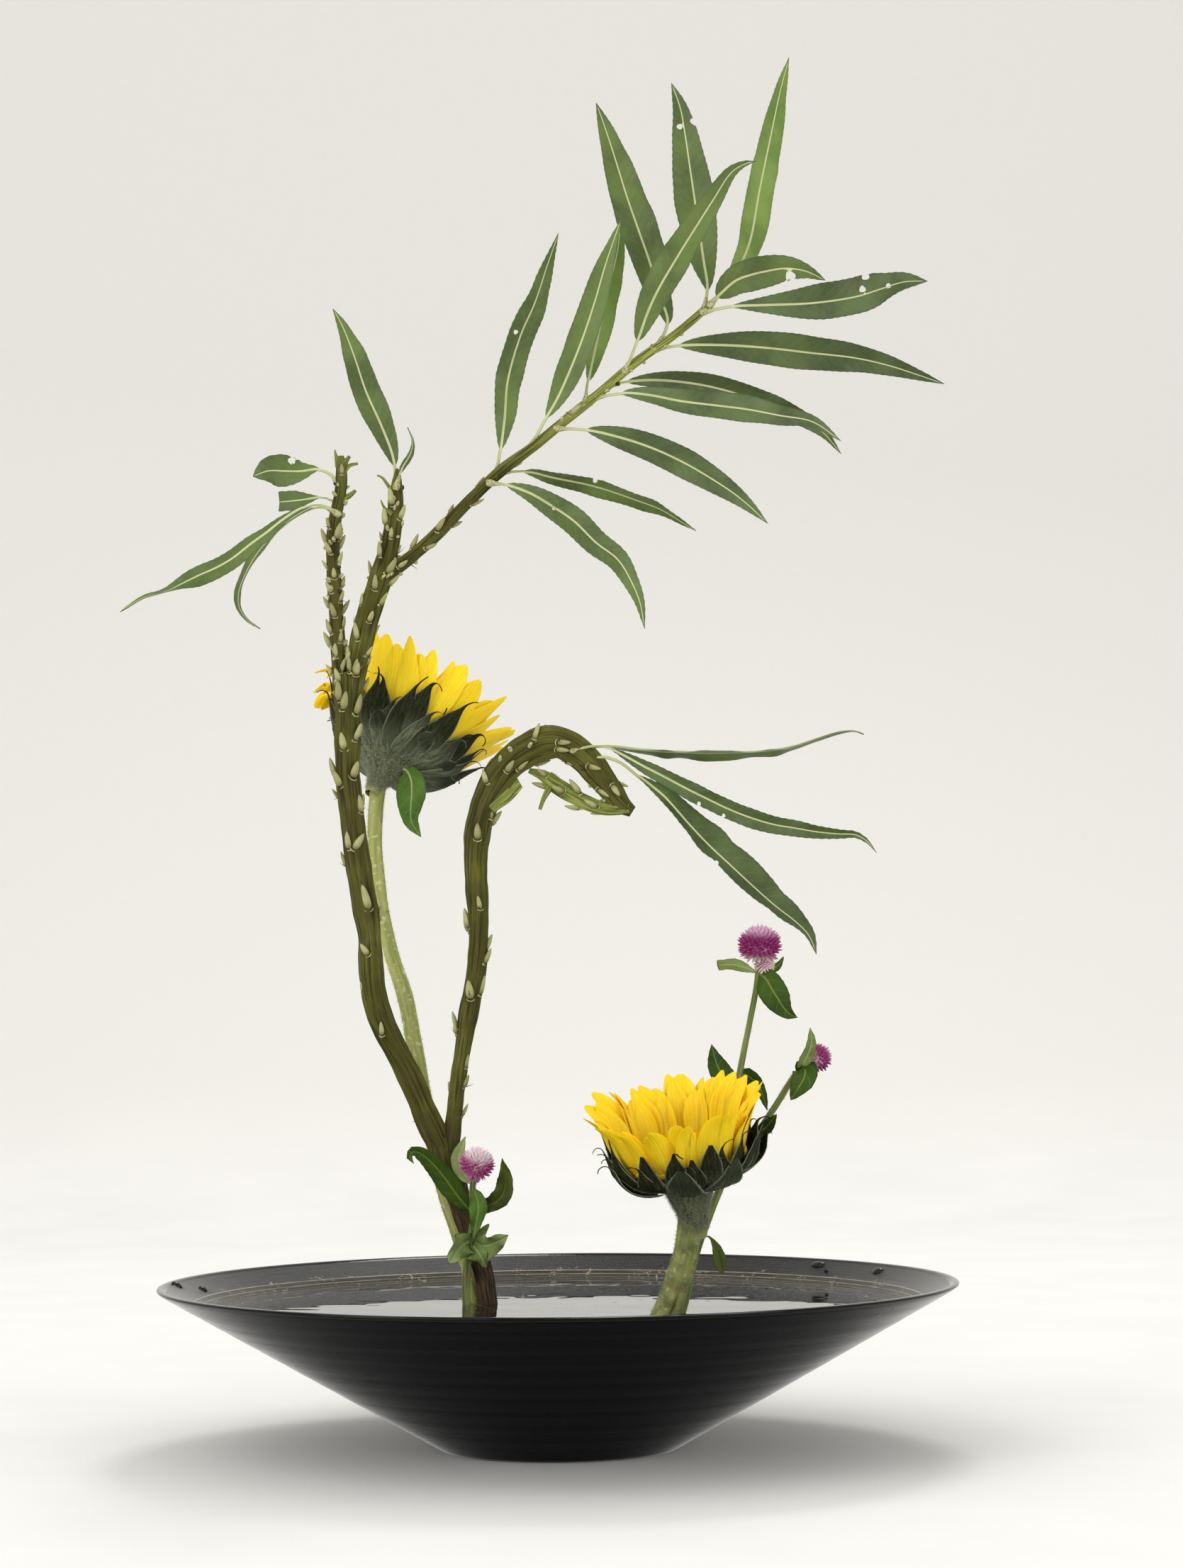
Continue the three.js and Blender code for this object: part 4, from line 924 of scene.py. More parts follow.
@cache
def black_glaze():
    """Black glazed stoneware, thrown on a wheel: satin, with faint turned lines that soften the shine."""
    made, tree = blank("satin_black_glaze")
    object_spots = node(tree, "TexCoord")["Object"]
    rings = node(tree, "Mapping", {"Scale": (5, 5, 420), "Vector": object_spots})[0]
    lines = node(tree, "TexNoise", {"Scale": 1.0, "Detail": 4, "Vector": rings})[0]
    base = layered(
        tree,
        palette().glaze,
        ("#060709", [lines, 0.35, 0.7]),
        ("#2a2b2d", [mottle(tree, 0.5), 0.62, 0.7, 0, 0.12]),
    )
    roughness = graded(tree, [lines, 0.3, 0.7, 0.18, 0.3])
    height = relief(tree, 0.06, lines, [mottle(tree, 0.8), 0.5])
    return surfaced(made, base, roughness, 0.01, height, {"Sheen Weight": 0.9, "Sheen Roughness": 0.18})


@cache
def rim_glaze():
    """The rim, where the glaze is thickest: the same black with a clear gloss."""
    made, tree = blank("glossy_rim_glaze")
    base = layered(tree, "#030304", ("#08080a", mottle(tree, 4)))
    return surfaced(made, base, 0.08, 0.12, relief(tree, 0.08, mottle(tree, 5)))


@cache
def inner_glaze():
    """The bowl's inside: dark grey satin glaze, wiped on the wheel below the lip, so fine pale rings and a
    brownish, streaky, speckled band show above the water."""
    made, tree = blank("wiped_grey_glaze")
    radius = layer(tree, "Grain")[1]
    band = graded(tree, [radius, 164.4, 163.4], [radius, 138, 150])
    brushed = streaks(tree, 30, 0.55, 6)
    coarse = streaks(tree, 12, 1.8, 4)
    streaky = layered(
        tree,
        "#201e19",
        ("#4e493b", [brushed, 0.42, 0.64]),
        ("#211f1b", [coarse, 0.5, 0.3, 0, 0.45]),
    )
    rings = (
        ("#aca391", [distance(tree, radius, ring), 0.36, 0.1], [coarse, 0.35, 0.6, strength / 2, strength])
        for ring, strength in ((164.4, 0.9), (161.6, 0.6), (159.6, 0.2), (158.2, 0.25))
    )
    near_rings = graded(tree, [radius, 154, 160], [radius, 168, 165.5])
    patches = [mottle(tree, 16), 0.47, 0.6, 0, 0.8]
    base = layered(
        tree,
        "#0c0c0b",
        ("#151514", [mottle(tree, 9, 5), 0.35, 0.65]),
        (streaky, band, 0.9),
        *rings,
        ("#a3927c", [mottle(tree, 1.7, 6), 0.56, 0.64], near_rings, patches),
    )
    roughness = graded(tree, [band, 0, 1, 0.33, 0.6])
    height = relief(tree, 0.14, brushed, mottle(tree, 0.8))
    return surfaced(made, base, roughness, 0.1, height, {"Sheen Weight": 0.8, "Sheen Roughness": 0.3})


@cache
def dark_drop():
    """Drops of water on black glaze: smooth and glossy, as dark as the glaze under them."""
    made, tree = blank("water_drop_on_glaze")
    base = layered(tree, "#0c0c0d", ("#1b1b1b", mottle(tree, 2)))
    return surfaced(made, base, 0.05, others={"IOR": 1.333})


@cache
def clear_water():
    """Still water: clear, with a faint slow ripple that only the reflections show."""
    made, tree = blank("clear_still_water")
    ripple = relief(tree, 0.22, mottle(tree, 24, 1))
    return surfaced(made, "#f4f7f5", 0.0, None, ripple, {"IOR": 1.333, "Transmission Weight": 1.0})


@cache
def cast_lead():
    """The holder's plate: cast lead, dull grey and a little pitted."""
    made, tree = blank("cast_lead_plate")
    base = layered(tree, "#55575a", ("#7b7d7f", mottle(tree, 3, 5)))
    return surfaced(made, base, 0.55, None, relief(tree, 0.2, mottle(tree, 1.2, 5)), {"Metallic": 1.0})


@cache
def drawn_brass():
    """The needles: drawn brass wire, ground to a point and dulled by water."""
    made, tree = blank("dulled_brass_needles")
    base = layered(tree, "#8a6f37", ("#b89a55", mottle(tree, 4)))
    return surfaced(made, base, 0.35, None, relief(tree, 0.05, mottle(tree, 0.6)), {"Metallic": 1.0})


@cache
def pale_cloth():
    """The stage: a plain, off-white cloth with a fine matt grain, a little greyer where it sweeps up."""
    made, tree = blank("plain_pale_cloth")
    height = node(tree, "SeparateXYZ", [node(tree, "TexCoord")["Object"]])[2]
    base = layered(
        tree,
        palette().floor,
        ("#eae9e7", mottle(tree, 120, 2)),
        ("#eae9e5", [height, 0.0, 0.15]),
    )
    return surfaced(made, base, 0.9, None, relief(tree, 0.1, mottle(tree, 1.5)))


# Bowl, water and needle holder

FLOOR, FLOOR_RADIUS, BASE_RADIUS, WALL = 4.5, 57.0, 52.0, 3.6
HOLDER_BASE, NEEDLE_LENGTH, HOLDER_GAP = 9.5, 13.0, 0.3
# How far the wall's inside runs out for each millimetre up
INNER_SLOPE = 119.4 / 69.5
BOWL_GRAIN_RADIUS = 150
UPRIGHT = Head([0, 0, 0], [0, 0, 1])

# Drops of dark water: [angle in degrees, radius, whether inside, width, length]
DROPS = [
    [175.3, 174.6, True, 4.5, 5.5],
    [167.9, 168.4, True, 5.5, 4.5],
    [43.4, 172.6, True, 8.5, 4.6],
    [28.3, 171.8, True, 7, 5.2],
    [35.1, 150.8, True, 6, 2.6],
    [-37.5, 170.5, False, 6.5, 3.4],
    [40.2, 168.3, True, 2.2, 1.6],
    [-35.2, 173.4, False, 3, 1.2],
]
DROP = [(0, 1), (0.3, 0.97), (0.55, 0.85), (0.78, 0.62), (0.93, 0.33), (1, 0.05)]


def lathe(shape, *bands, sides=220):
    """A body turned round the upright axis, from bands of a finish and its spots of [radius, height]."""
    radius, height = np.array([spot for _, *spots in bands for spot in spots], float).T
    finishes = [finish for finish, *spots in bands for _ in spots]
    rings = UPRIGHT.spot(radius[:, None], height[:, None], TAU * np.arange(sides) / sides)
    skin(shape, rings, TAU * BOWL_GRAIN_RADIUS, radius, np.repeat(finishes[:-1], sides))


def thrown(low, high, lines, seed):
    """Spots along a straight wall, which the potter's fingers left a little uneven."""
    share = np.linspace(0, 1, 60)
    spots = np.outer(1 - share, low) + np.outer(share, high)
    spots[:, 0] += lines * uneven(seed, share * 60) * np.sin(math.pi * share) ** 0.3
    return spots


class IKEBANA_OT_bowl(bpy.types.Operator):
    """Adds the glazed bowl and the drops on its wall"""

    bl_idname = "ikebana.bowl"
    bl_label = "Bowl"

    def execute(self, context):
        rim, height = sizes().rim_radius / MM, sizes().bowl_height / MM
        slope = (rim - BASE_RADIUS) / height
        inner = rim - WALL
        outside, lip, inside = 0, 1, 2
        shape = Shape("bowl_glazed")
        lathe(
            shape,
            [
                outside,
                *([0.01, 0.4], [BASE_RADIUS - 5, 0.4], [BASE_RADIUS - 4, 0], [BASE_RADIUS - 0.6, 0]),
                *([BASE_RADIUS + 1.6, 0.35], [BASE_RADIUS + 3.2, 1.2]),
                *thrown([BASE_RADIUS + 4 * slope, 3.4], [rim - 2.4, height - 2.7], 0.09, 3),
            ],
            [
                lip,
                *([rim - 1.1, height - 1.9], [rim - 0.35, height - 1.35], [rim - 0.02, height - 0.8]),
                *([rim - 0.2, height - 0.3], [rim - 0.8, height], [inner + 1.0, height]),
                [inner + 0.1, height - 0.35],
            ],
            [
                inside,
                [inner - 0.9, height - 0.95],
                *thrown([inner - 2.4, height - 1.85], [FLOOR_RADIUS + 4, FLOOR + 2.2], 0.12, 4),
                *([FLOOR_RADIUS + 2, FLOOR + 0.9], [FLOOR_RADIUS - 1, FLOOR + 0.2]),
                *([FLOOR_RADIUS - 5, FLOOR], [0.01, FLOOR]),
            ],
        )
        shape.build("bowl", [black_glaze(), rim_glaze(), inner_glaze()], "bowl")
        self.add_drops(slope)
        return {"FINISHED"}

    def add_drops(self, slope):
        shape = Shape("wall_drops")
        for degrees, radius, inside, width, length in DROPS:
            angle = math.radians(degrees)
            out, round_way = UPRIGHT.out(angle), UPRIGHT.out(angle + math.pi / 2)
            if inside:
                foot = UPRIGHT.spot(radius, FLOOR + (radius - FLOOR_RADIUS) / INNER_SLOPE - 0.35, angle)
                way = UPRIGHT.up * INNER_SLOPE - out
            else:
                foot = UPRIGHT.spot(radius - 0.3, (radius - BASE_RADIUS) / slope, angle)
                way = out - UPRIGHT.up * slope
            forms(shape, foot, way, round_way, 1.5, width, length, DROP, 20)
        shape.build("water", [dark_drop()])


class IKEBANA_OT_water(bpy.types.Operator):
    """Fills the bowl with water, which reaches a little into the wall so that no gap shows"""

    bl_idname = "ikebana.water"
    bl_label = "Water"

    def execute(self, context):
        level = sizes().water_level / MM
        edge = FLOOR_RADIUS + (level - FLOOR) * INNER_SLOPE
        shape = Shape("water_still")
        under = [[0.01, FLOOR - 0.4], [FLOOR_RADIUS - 1, FLOOR - 0.4], [FLOOR_RADIUS + 1, FLOOR]]
        # The surface climbs the wall a little.
        climb = [[edge + 0.6, level - 0.3], [edge + 1.2, level + 0.25], [edge - 0.6, level + 0.05]]
        surface = [[radius, level] for radius in (edge - 2.2, edge * 0.75, edge * 0.5, edge * 0.25, 0.01)]
        lathe(shape, [0, *under, *climb, *surface])
        shape.build("water", [clear_water()], "water")
        return {"FINISHED"}


class IKEBANA_OT_needle_holder(bpy.types.Operator):
    """Adds the needle holder on the bowl's floor"""

    bl_idname = "ikebana.needle_holder"
    bl_label = "Needle holder"

    def execute(self, context):
        radius, pitch = sizes().holder_radius / MM, sizes().needle_pitch / MM
        low = FLOOR + HOLDER_GAP
        top = low + HOLDER_BASE
        plate, needle = 0, 1
        shape = Shape("kenzan_needles")
        edge = [[radius - 1.2, low], [radius, low + 1.2], [radius, top - 1.6], [radius - 0.5, top - 0.5]]
        lathe(shape, [plate, [0.01, low], *edge, [radius - 1.6, top], [0.01, top]], sides=72)
        lines = math.ceil(radius / pitch)
        spots = [
            ((column + 0.5 * (row % 2)) * pitch, row * pitch * math.sin(math.pi / 3))
            for row in range(-lines - 4, lines + 5)
            for column in range(-lines - 1, lines + 2)
        ]
        feet = np.array([[x, y, top - 0.5] for x, y in spots if math.hypot(x, y) < radius - 4])
        up = np.broadcast_to(UPRIGHT.up, feet.shape)
        pin = [(0, 1), (0.8, 1), (0.93, 0.5), (1, 0.06)]
        forms(shape, feet, up, UPRIGHT.side, NEEDLE_LENGTH + 0.5, 1.1, 1.1, pin, 7, needle)
        shape.build("kenzan", [cast_lead(), drawn_brass()], "kenzan")
        return {"FINISHED"}

# Willow: stations are [x, z, y, width, depth] in the front plane; depth is the width where it is left out.

WILLOW_LIMBS = {
    "trunk": [
        [-17, 12, 18, 7.5], [-24, 38, 17, 7.5], [-31.5, 63, 16, 7.5], [-34, 78, 15.5, 8],
        [-38.5, 92, 15, 8.5], [-43, 105, 14, 9], [-47, 118, 13, 10.5, 9.5], [-50, 130, 12, 12.5, 10],
        [-52, 139, 11.5, 12, 9],
    ],
    "left": [
        [-47, 117, 13, 8.5], [-53, 136, 11.5, 10], [-59, 149, 11, 10], [-65, 163.5, 10, 9.5],
        [-72, 177.5, 9.5, 9.5], [-78.5, 190.5, 9, 10], [-82.3, 203, 8.5, 10.5], [-83.8, 217, 8, 10],
        [-84.6, 232, 7.5, 9.7], [-87.5, 250, 7, 11], [-90.7, 270, 6.5, 10.5], [-93, 288, 6, 10.5],
        [-94.6, 303, 5.5, 10.5], [-94.8, 322, 5, 11, 8.5], [-94.5, 340, 5, 12.5, 8.5],
        [-94.5, 351, 5, 12.5, 7],
    ],
    "left_high": [
        [-96.5, 336, 5, 7, 6.5], [-98, 352, 5, 6.2], [-98.8, 368, 5, 5.8], [-99.5, 385, 5, 5.8],
        [-100.3, 400, 5, 5.6], [-100.3, 413, 5, 5.6], [-99, 424, 5, 5.4], [-97, 434, 5, 5],
        [-96.5, 443, 5, 5], [-97, 451, 5, 3],
    ],
    "left_low": [
        [-92.5, 336, 5, 7.5, 6.5], [-90, 353, 5, 9, 7.5], [-87.5, 366, 5, 9, 7.5], [-84.5, 378, 5, 9.5, 7.5],
        [-79.8, 392, 5, 9, 7], [-75, 409, 5, 8, 7], [-72, 427, 5, 6, 6], [-71.3, 438, 5, 4.8],
        [-71, 442, 5, 3], [-71, 445, 5, 1],
    ],
    "twig": [
        [-81, 387, 5, 5.2], [-75, 396, 5, 5.7], [-66, 403.5, 4.5, 5.4], [-55, 413, 4, 5.2], [-38, 430, 3, 5],
        [-23, 444, 2, 4.9], [-8, 455, 1, 4.6], [8, 468, 0, 4.3], [22, 479, 0, 4.1], [40, 494, 0, 3.8],
        [56, 505, 0, 3.5], [66, 513, 0, 3.3], [74.5, 520.5, 0, 3.1],
    ],
    "right": [
        [-49, 122, 12, 7.5], [-47.5, 140, 11, 7.5], [-46.4, 150, 10, 7.2], [-45.2, 162, 9, 6.6],
        [-43.8, 172, 8, 6.7], [-42, 184, 7, 7.3], [-40, 197, 6, 8.6], [-37.3, 210, 5, 8.6],
        [-35.7, 225, 4, 8.2], [-35.4, 240, 3, 8.6], [-36, 255, 2, 9.4], [-35.9, 268, 1, 9.6],
        [-34.8, 278, 1, 10.5, 9.5], [-32.5, 287, 0, 11, 9], [-28, 297, 0, 12, 8.5], [-22, 306, 0, 13, 8],
        [-14, 312.5, 0, 13.5, 8], [-5, 316.8, 0, 13.5, 8], [2, 317.2, 0, 13, 8], [8, 314.5, 0, 12.8, 7.5],
        [14, 309.5, 0, 12, 7.5], [20, 302.5, 0, 11, 7], [26, 295, 0, 10, 6.5], [31, 289, 0, 7.5, 5.5],
        [35.5, 286, 0, 4.5, 4],
    ],
    "torn_strip": [
        [34, 287.5, -0.5, 5, 4], [26, 287.3, -0.5, 5.8, 3.2], [19, 288.5, -0.5, 6, 3],
        [12, 291.5, -0.5, 7.2, 3], [5, 295.5, 0, 7.6, 3], [-1, 299.5, 0, 6.2, 3], [-5, 302.8, 0, 5, 2.6],
        [-11.5, 305.3, 0, 2.4, 2],
    ],
    "torn_flap": [[-30, 289, -1, 7, 6], [-24, 294.5, -1, 9, 4], [-19.5, 298.5, -1, 9, 3],
    [-16, 300.5, -1, 6, 2]],
    "peg": [[-2, 297.5, -1, 2.4], [-5, 292, -1.5, 1.6], [-6.6, 287.5, -2, 1.3]],
    "top_horn": [[-97, 444, 5, 3.5], [-95, 448, 4.5, 2.6], [-92.8, 451, 4, 1.4]],
    "side_horn": [[-96.5, 442, 5, 3], [-93, 446.5, 4, 2], [-89, 447.5, 3.5, 1.2]],
    "low_horn": [[-96.5, 431, 5, 3], [-93, 432.5, 4, 2.4], [-90, 435, 3.5, 1.4]],
    "splinter": [[-98, 446, 5, 2.6], [-98.8, 450.5, 5, 1.8], [-99.6, 454, 5, 0.5]],
    "bare_stalk": [[-73, 434, 4, 1.7], [-76, 438.5, 3.5, 1.3], [-78, 441, 3, 1.1], [-80.2, 442, 3, 0.7]],
    "stalk_stub": [[-73.5, 424, 3, 2], [-77, 427, 2, 1.2], [-78.5, 430.5, 1.5, 0.5]],
}
TORN = (
    "torn_strip", "torn_flap", "peg", "top_horn", "side_horn", "low_horn", "splinter", "bare_stalk",
    "stalk_stub",
)

# Buds that the front shows, each from its foot to its tip: [x, z, x, z] in the front plane
FRONT_BUDS = {
    "left": [
        [-84.5, 243, -88, 254], [-85, 222, -88.5, 227], [-79, 186, -79, 190.5], [-88.5, 205, -88.5, 211],
        [-64, 145, -66, 152], [-88, 356.5, -84.5, 364], [-91, 359, -90, 365.5], [-93, 358, -92.5, 365],
        [-97, 363.5, -96, 370], [-98, 338, -98, 347], [-96, 334, -95.5, 342.5], [-90, 332, -87.5, 341],
        [-101, 303, -102.5, 312], [-97.5, 299, -99, 306.5], [-91.5, 303, -88, 310], [-88, 287, -88.5, 295],
        [-93.5, 270.5, -93.5, 278.5], [-91, 270.5, -87.5, 278], [-95.5, 316, -95.5, 324],
        [-90.5, 320, -89, 328],
    ],
    "right": [
        [-41, 234, -41.5, 243], [-34, 243, -34.5, 249], [-38.7, 202, -38.5, 210.5], [-34, 204, -33.5, 213],
        [-32, 218, -30, 225], [-47, 186, -47, 192], [-41, 171, -41, 177], [-41, 162, -40, 167],
        [-35, 274.5, -35, 281.5], [-28.5, 284, -29, 290.5], [-21.5, 305, -17.5, 309.5],
        [-16, 305.5, -12.5, 310.5], [1.5, 318, 6.5, 317], [1.5, 314.5, 7, 313.5], [4.5, 309.5, 9, 308],
        [15.5, 307, 21, 304.5], [26.5, 298, 30, 293.5], [20, 296, 25, 293.5], [-9, 320, -5.5, 326.5],
        [-31, 299.5, -31.5, 306],
    ],
}

# Runs of buds: [limb, from and to along it in mm, space, seed, whether they keep off the front]
BUD_RUNS = [
    ["left", 20, 125, 13, 11, True],
    ["left", 128, 238, 6.5, 12, True],
    ["left_high", 6, 113, 2.3, 13, False],
    ["left_low", 8, 104, 3.1, 14, False],
    ["twig", 6, 60, 5, 15, False],
    ["twig", 60, 198, 9, 19, False],
    ["right", 28, 160, 9.5, 16, True],
    ["right", 162, 262, 5, 17, True],
    ["torn_strip", 8, 46, 3.4, 18, False],
]
# Knobbly stretches, where small leaves and stipules broke off: [limb, from and to along it, space, seed]
KNOB_RUNS = [
    ["left_high", 4, 112, 1.9, 31],
    ["left_low", 56, 103, 2.2, 32],
    ["twig", 0, 26, 2.4, 33],
    ["twig", 120, 196, 7, 34],
    ["right", 176, 262, 6, 35],
]

BARK, BUD_SKIN, SCAR, DRY, TORN_WOOD = range(5)
BUD = [
    (0, 0.6), (0.07, 0.88), (0.2, 1), (0.4, 0.98), (0.6, 0.85), (0.76, 0.66), (0.88, 0.43), (0.96, 0.22),
    (1, 0.05),
]
KNOB = [(0, 1), (0.4, 1), (0.7, 0.86), (0.9, 0.6), (1, 0.2)]
STIPULE = [(0, 1), (0.3, 0.9), (0.6, 0.6), (0.85, 0.3), (1, 0.1)]
LEAF_FOOT = [(0, 0.7), (0.15, 0.95), (0.3, 1), (0.6, 0.66), (1, 0.36)]


def bark_spot(limb, share, angle, sunk):
    """Where things stand on a limb, at shares of it and angles round it, with their feet sunk to this part
    of its radius: the foot, the ways out and along, and half the limb's width."""
    centre, way, side, back, half, deep = limb.frames(share)
    cos, sin = np.cos(angle)[..., None], np.sin(angle)[..., None]
    out = side * cos + back * sin
    radius = np.hypot(half[..., None] * cos, deep[..., None] * sin)
    return centre + out * (sunk * radius), out, way, half


def front_bud(limb, x, z, tip_x, tip_z):
    """A bud that the front shows on a limb: its foot, the ways out and along it, and its length."""
    frames = limb.frames(np.linspace(0, 1, 400))
    near = np.argmin(np.linalg.norm(in_front(frames[0]) - [x, z], axis=1))
    centre, _, side, back, half, deep = (v[near] for v in frames)
    aside = float(np.clip((seen(x, z, centre[1]) - centre) @ side / half, -0.97, 0.97))
    ahead = math.sqrt(1 - aside**2)
    out = side * aside - back * ahead
    foot = centre + 0.94 * (side * half * aside - back * deep * ahead)
    lean = unit(np.array([tip_x - x, 0, tip_z - z]))
    return foot, out, unit(lean + 0.2 * out), max(6.2, math.hypot(tip_x - x, tip_z - z))


def leaf_spots(k):
    """Where the path of each willow leaf has its spot k, at the depth of its foot."""
    return np.array([seen(*spec["path"][k], spec["depth"][0]) for spec in WILLOW_LEAVES])


def add_buds(shape):
    """Buds with their leaf scars, and the dried stipules of some."""
    buds = []
    for name, spots in FRONT_BUDS.items():
        buds += [front_bud(Limb(WILLOW_LIMBS[name]), *spot) for spot in spots]
    leaf_feet = leaf_spots(0)
    for name, start, end, space, seed, behind in BUD_RUNS:
        limb = Limb(WILLOW_LIMBS[name])
        roll = random.Random(seed)
        for k in range(int((end - start) / space)):
            along = start + (k + 0.3 * (roll.random() - 0.5)) * space
            angle = k * GOLDEN_ANGLE + 0.4 * (roll.random() - 0.5)
            length = sizes().bud_length / MM * roll.uniform(0.58, 0.98)
            if behind and math.sin(angle) < -0.25:
                continue
            foot, out, way, _ = bark_spot(limb, min(along / limb.length, 1), angle, 0.93)
            if np.linalg.norm(leaf_feet - foot, axis=1).min() < 6:
                continue
            buds.append([foot, out, unit(way + out * roll.uniform(0.3, 0.55)), length])
    feet, outs, ways, lengths = (np.array(group) for group in zip(*buds))
    side = unit(np.cross(ways, outs))
    roll = np.random.default_rng(5)
    width = np.clip(lengths * roll.uniform(0.32, 0.48, len(feet)), 2.1, 3.7)
    ways = unit(ways + side * roll.uniform(-0.22, 0.22, (len(feet), 1)))
    bow = roll.uniform(-0.08, 0.14, len(feet))
    forms(shape, feet + 0.15 * outs, ways, side, lengths, width, width * 0.8, BUD, 10, BUD_SKIN, bow)
    add_ledges(shape, feet, outs, ways, side, width * roll.uniform(0.5, 0.66, len(feet)))
    some = roll.random(len(feet)) < 0.28
    feet, outs, ways, side = (v[some] for v in (feet, outs, ways, side))
    lean = ways * 0.5 + outs + side * roll.uniform(-0.9, 0.9, (len(feet), 1))
    lengths, bow = roll.uniform(2.5, 5.5, len(feet)), roll.uniform(-0.7, 0.7, len(feet))
    forms(shape, feet + 0.2 * outs, lean, side, lengths, 0.75, 0.45, STIPULE, 6, DRY, bow)
    add_knobs(shape)


def add_ledges(shape, feet, outs, ways, side, reach):
    """A thin, pale crescent of cork round each bud's foot, where its leaf fell off."""
    steps, corners = 9, 6
    turn = np.radians(np.linspace(185, 355, steps))[None, :, None, None]
    angle = (TAU * np.arange(corners) / corners)[None, None, :, None]
    size = np.interp(np.arange(steps), [0, 1.5, 4, 6.5, 8], [0.05, 0.36, 0.55, 0.36, 0.05])
    feet, outs, ways, side = (v[:, None, None] for v in (feet, outs, ways, side))
    radial = side * np.cos(turn) + ways * (0.72 * np.sin(turn))
    thick = size[None, :, None, None] * (radial * np.cos(angle) + 2.1 * outs * np.sin(angle))
    spots = feet + radial * reach[:, None, None, None] + thick + 0.1 * outs
    first = shape.put(spots)
    count = len(spots)
    faces, rows, columns = grid(steps, corners, closed=True)
    faces = (faces + first + np.arange(count)[:, None, None] * steps * corners).reshape(-1, 4)
    share = np.tile(pairs(columns / corners, rows / steps), (count, 1, 1))
    shape.cover(faces, share * 3, share, SCAR)


def add_knobs(shape):
    """Low, uneven knobs of cork and dried wood, and the swollen feet of the leaves' stalks."""
    for name, start, end, space, seed in KNOB_RUNS:
        roll = np.random.default_rng(seed)
        limb = Limb(WILLOW_LIMBS[name])
        along = np.arange(start, end, space)
        along = along + roll.uniform(-0.4, 0.4, len(along)) * space
        angle = roll.uniform(0, TAU, len(along))
        foot, out, way, half = bark_spot(limb, np.clip(along / limb.length, 0, 1), angle, 0.8)
        kind = np.where(roll.random(len(along)) < 0.2, DRY, SCAR)
        for finish in (SCAR, DRY):
            pick = kind == finish
            count = int(pick.sum())
            height = roll.uniform(1.3, 2.6, count) + 0.12 * half[pick]
            lean = out[pick] + way[pick] * roll.uniform(0.1, 0.9, (count, 1))
            width, depth = roll.uniform(1.4, 3, count), roll.uniform(1.2, 2.2, count)
            bow = roll.uniform(-0.2, 0.2, count)
            forms(shape, foot[pick], lean, way[pick], height, width, depth, KNOB, 9, finish, bow)
    feet = leaf_spots(0)
    way = unit(leaf_spots(1) - feet)
    forms(shape, feet - 1.2 * way, way, AWAY, 7, 4.3, 3.6, LEAF_FOOT, 10, SCAR)


class IKEBANA_OT_willow_branches(bpy.types.Operator):
    """Adds the willow's forked limbs, with their bark, buds and torn wood"""

    bl_idname = "ikebana.willow_branches"
    bl_label = "Willow branches"

    def execute(self, context):
        shape = Shape("willow_branches")
        for seed, (name, stations) in enumerate(WILLOW_LIMBS.items()):
            if name in TORN:
                stem(shape, stations, 1.2, 18, TORN_WOOD, 0.16, seed)
            else:
                stem(shape, stations, 1.8, 36, BARK, 0.12, seed)
        add_buds(shape)
        skins = [willow_bark(), bud_scale(), bud_scar(), dry_tip(), torn_wood()]
        shape.build("willow_bark", skins, "willow_stem")
        return {"FINISHED"}


